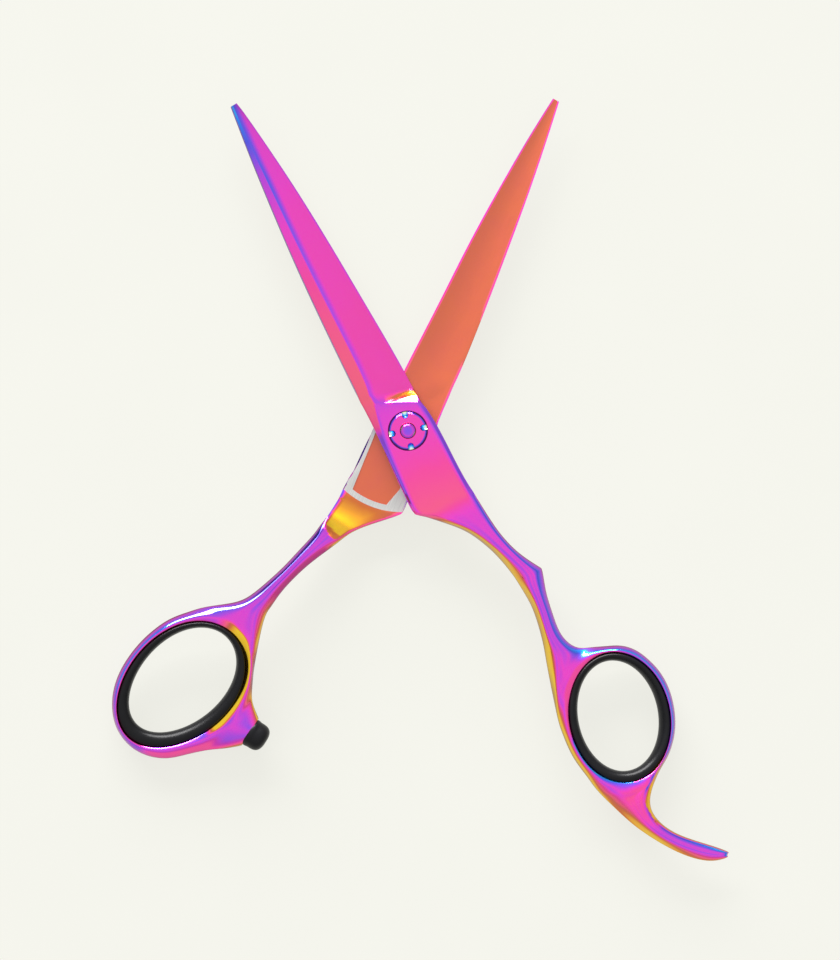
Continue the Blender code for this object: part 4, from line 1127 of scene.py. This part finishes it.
def coated_steel(name, half_world=None):
    """Mirror-polished steel under an interference coating, with bare ride faces on a half."""
    material, shader, nodes = new_material(name)
    place = nodes.add("ShaderNodeTexCoord").outputs["Object"]
    if half_world:
        place = nodes.add("ShaderNodeMapping",
                          {"Vector": place, "Location": half_world.translation,
                           "Rotation": half_world.to_euler()}, vector_type="TEXTURE").outputs[0]
    film = nodes.add("ShaderNodeAttribute", attribute_name="film").outputs["Fac"]
    for scale, detail, swing in FILM_DRIFTS:
        cloud = nodes.noise(place, scale, detail)
        film = nodes.math("ADD", film, nodes.math("MULTIPLY_ADD", cloud, swing, -swing / 2))
    share = nodes.math("DIVIDE", film, FILM_SPAN)
    colour = nodes.ramp(share, [(stop / FILM_SPAN, tint) for stop, tint in INTERFERENCE])
    # Painted shade, stored at the face corners, darkens the coating's colour and takes away its
    # clear coat
    shade = nodes.add("ShaderNodeAttribute", attribute_name="shade").outputs["Fac"]
    colour = nodes.blend(shade, colour, PAINTED_SHADE_TINT)
    along = nodes.noise(nodes.stretched(place, (9000.0, 260.0, 9000.0)), 1.0, 3.0)
    polish = nodes.rise(along, 0.3, 0.7, 0.1, 0.16)
    if half_world:
        ground = nodes.add("ShaderNodeAttribute", attribute_name="ground").outputs["Fac"]
        polish = nodes.math("MULTIPLY_ADD", ground, GROUND_ROUGHNESS, polish)
        bare = nodes.math("MULTIPLY", ride_faces(nodes, place, half_world),
                          nodes.math("LESS_THAN", shade, 0.4))
        brushed = nodes.ramp(along, ((0.3, srgb(177, 177, 175)), (0.7, srgb(202, 201, 198))))
        colour = nodes.blend(bare, colour, brushed)
    coat = nodes.math("MULTIPLY_ADD", shade, -COAT_LOSS, 1.0)
    nodes.feed(shader, {"Base Color": colour, "Roughness": polish, "Coat Weight": coat,
                        "Normal": nodes.bump(along, 0.012, 0.00002), "Coat Roughness": 0.04,
                        "Metallic": 1.0, "Specular Tint": srgb(170, 140, 170)})
    return material


def plain_metal(name, dark, light, roughness, scale):
    """Machined metal with fine tool marks."""
    material, shader, nodes = new_material(name)
    place = nodes.add("ShaderNodeTexCoord").outputs["Object"]
    marks = nodes.noise(nodes.stretched(place, (scale, scale, scale * 8)), 1.0, 4.0)
    nodes.feed(shader, {"Base Color": nodes.ramp(marks, ((0.3, dark), (0.7, light))),
                        "Roughness": nodes.rise(marks, 0.3, 0.7, roughness, roughness + 0.14),
                        "Normal": nodes.bump(marks, 0.15, 0.00004), "Metallic": 1.0})
    return material


def moulded(name, dark, light, roughness, grain_scale, shine):
    """Moulded rubber or plastic: a faint grain, slow shade changes and a soft shine."""
    material, shader, nodes = new_material(name)
    place = nodes.add("ShaderNodeTexCoord").outputs["Object"]
    cloud = nodes.noise(place, 160.0, 3.0)
    grain = nodes.noise(place, grain_scale, 4.0, 0.65)
    nodes.feed(shader, {"Base Color": nodes.ramp(cloud, ((0.3, dark), (0.7, light))),
                        "Roughness": nodes.rise(grain, 0.3, 0.7, roughness, roughness + 0.12),
                        "Normal": nodes.bump(grain, 0.12, 0.00003),
                        "Specular IOR Level": shine})
    return material


# ---------------------------------------------------------------- the pieces

finger_world = world_of(FINGER_SWING, False)
thumb_world = world_of(THUMB_SWING, True)
upright_world = world_of(THUMB_SWING, False)

finger_coating = coated_steel("rainbow coated finger half", finger_world)
thumb_coating = coated_steel("rainbow coated thumb half", thumb_world)
hardware_coating = coated_steel("rainbow coated hardware")
rubber = moulded("black rubber", srgb(7, 7, 9), srgb(14, 14, 17), 0.28, 9000.0, 0.18)
nylon = moulded("white nylon", srgb(212, 211, 204), srgb(230, 229, 223), 0.42, 6000.0, 0.5)
steel = plain_metal("bare steel", srgb(176, 175, 173), srgb(208, 207, 204), 0.2, 2500.0)
brass = plain_metal("turned brass", srgb(190, 150, 82), srgb(214, 178, 104), 0.22, 3000.0)


def finish_piece(thing, material, world, body, node):
    """Lays a finished mesh in place, with its vertices in the shared frame."""
    thing.data.transform(world)
    thing.data.materials.clear()
    thing.data.materials.append(material)
    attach(thing, body)
    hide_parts(node)
    return thing


def turn_of(world):
    return np.array(world.to_3x3())


finger = forged_half("finger_half_forging", FINGER_ROWS, FINGER_RING, FINGER_JOIN,
                     TANG_JOIN, TANG_ROWS, peaks=(20,))
carved(finger, (
    drum("pivot_bore", BORE_RADIUS, -1, BODY_TOP + 1),
    drum("dial_pocket", DIAL_POCKET_RADIUS, DIAL_POCKET_FLOOR, BODY_TOP + 1),
    drum("washer_seat", WASHER_SEAT_RADIUS, -1, WASHER_SEAT_TOP),
    ride_pocket(4.3, (4.1, -13.2), (-4.2, -13.2), (-4.9, -9.0))))
finger_film = Film(FINGER_ROWS, FINGER_RING, turn_of(finger_world), towards=(0.7, 0.71),
                   flats=MAGENTA, wall=PINK, ring_steep=0.1)
lay_film(finger, lambda *corners: film_of_finger(finger_film, *corners))
finish_piece(finger, finger_coating, finger_world, "finger_half", "finger_blade")

boss_rows = [boss_row(**section) for section in BOSS_ROWS]
thumb = forged_half("thumb_half_forging", THUMB_ROWS, THUMB_RING, THUMB_JOIN,
                    BOSS_JOIN, boss_rows, flat_end=True, inner_ridges=(15, 18),
                    flares=THUMB_FLARES)
stem_hole = turned("stem_hole", ((STEM_HOLE_RADIUS, -STEM_HOLE_DEPTH), (STEM_HOLE_RADIUS, 1.5)),
                   sides=48)
place_along(stem_hole, Vector(BUMPER_SEAT), BUMPER_AXIS)
carved(thumb, (
    block("square_hole", (SQUARE_HOLE, SQUARE_HOLE, 8), (0, 0, 2)), stem_hole,
    ride_pocket(5.5, (5.0, -14.2), (-2.02, -14.55), (-3.13, -10.9))))
thumb_film = Film(THUMB_ROWS, THUMB_RING, turn_of(thumb_world), towards=(-0.96, 0.28),
                  flats=MAGENTA, wall=0.05, ring_steep=PINK)
lay_film(thumb, lambda *corners: film_of_thumb(thumb_film, *corners))
finish_piece(thumb, thumb_coating, thumb_world, "thumb_half", "thumb_blade")

finish_piece(insert_ring("finger_ring_liner", FINGER_RING, 1), rubber, finger_world,
             "finger_half", "finger_ring_insert")
finish_piece(insert_ring("thumb_ring_liner", THUMB_RING, -1), rubber, thumb_world,
             "thumb_half", "thumb_ring_insert")
finish_piece(bumper("closing_bumper"), rubber, thumb_world, "thumb_half", "bumper")

stud = pivot_stud("coated_pivot_stud")
lay_film(stud, film_of_turned)
finish_piece(stud, hardware_coating, upright_world, "thumb_half", "pivot_stud")
dial = tension_dial("notched_tension_dial")
lay_film(dial, film_of_turned)
finish_piece(dial, hardware_coating, upright_world, "dial", "tension_dial")

for node_name, material in (("pivot_bush", brass), ("ride_washer", nylon),
                            ("click_plate", steel), ("click_spring", steel)):
    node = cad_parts[node_name]
    node.data.materials.clear()
    node.data.materials.append(material)


# ---------------------------------------------------------------- table, light, camera

TABLE_HALF = 2.0
TABLE_SINK = 0.0004
TABLE_COLOUR = srgb(246, 246, 238)
TABLE_GLOW = 0.841
VIEW_CENTRE = Vector((2.3, -9.4, 5.0)) * MM
VIEW_HEIGHT = 183.4 * MM
LENS, SENSOR = 300.0, 36.0


def table():
    """A pale table that carries a little light of its own, so that shadows on it stay faint."""
    bm = bmesh.new()
    bmesh.ops.create_grid(bm, x_segments=8, y_segments=8, size=TABLE_HALF)
    top = object_from(bm, "table")
    top.location.z = -TABLE_SINK
    material, shader, nodes = new_material("pale table")
    place = nodes.add("ShaderNodeTexCoord").outputs["Object"]
    tone = nodes.noise(place, 30.0, 2.0)
    colour = nodes.ramp(tone, ((0.3, srgb(74, 74, 71)), (0.7, srgb(76, 76, 73))))
    nodes.feed(shader, {"Base Color": colour, "Roughness": 0.9, "Specular IOR Level": 0.0,
                        "Emission Color": TABLE_COLOUR, "Emission Strength": TABLE_GLOW})
    top.data.materials.append(material)


def studio_light():
    """A white tent: bright overhead and at the horizon, a little darker between."""
    world = bpy.data.worlds.new("white tent")
    bpy.context.scene.world = world
    world.use_nodes = True
    nodes = Nodes(world.node_tree)
    ray = nodes.add("ShaderNodeTexCoord").outputs["Generated"]
    height = nodes.add("ShaderNodeSeparateXYZ", {0: ray}).outputs[2]
    stops = ((0.0, 0.9), (0.3, 0.66), (0.6, 0.9), (1.0, 1.0))
    bands = nodes.ramp(height, [(place, (grey, grey, grey, 1.0)) for place, grey in stops])
    background = world.node_tree.nodes["Background"]
    nodes.feed(background, {"Color": bands, "Strength": 1.0})


def softbox(name, direction, distance, size, power):
    """A rectangular light aimed at the shears, unseen by the camera itself."""
    light = bpy.data.lights.new(name, "AREA")
    light.shape = "RECTANGLE"
    light.size, light.size_y = size
    light.energy = power
    lamp = put(bpy.data.objects.new(name, light))
    aim = Vector(direction).normalized()
    lamp.location = VIEW_CENTRE + aim * distance
    lamp.rotation_euler = aim.to_track_quat("Z", "Y").to_euler()
    lamp.visible_camera = False


def camera():
    made = bpy.data.cameras.new("camera")
    made.lens = LENS
    made.sensor_width = made.sensor_height = SENSOR
    made.sensor_fit = "VERTICAL"
    made.clip_end = 20.0
    eye = put(bpy.data.objects.new("camera", made))
    eye.location = VIEW_CENTRE + Vector((0, 0, VIEW_HEIGHT * LENS / SENSOR))
    bpy.context.scene.camera = eye


table()
studio_light()
softbox("north_softbox", direction=(-0.21, 0.903, 0.375), distance=3.0, size=(3.0, 1.5),
        power=330.0)
camera()
bpy.context.scene.view_settings.view_transform = "Standard"
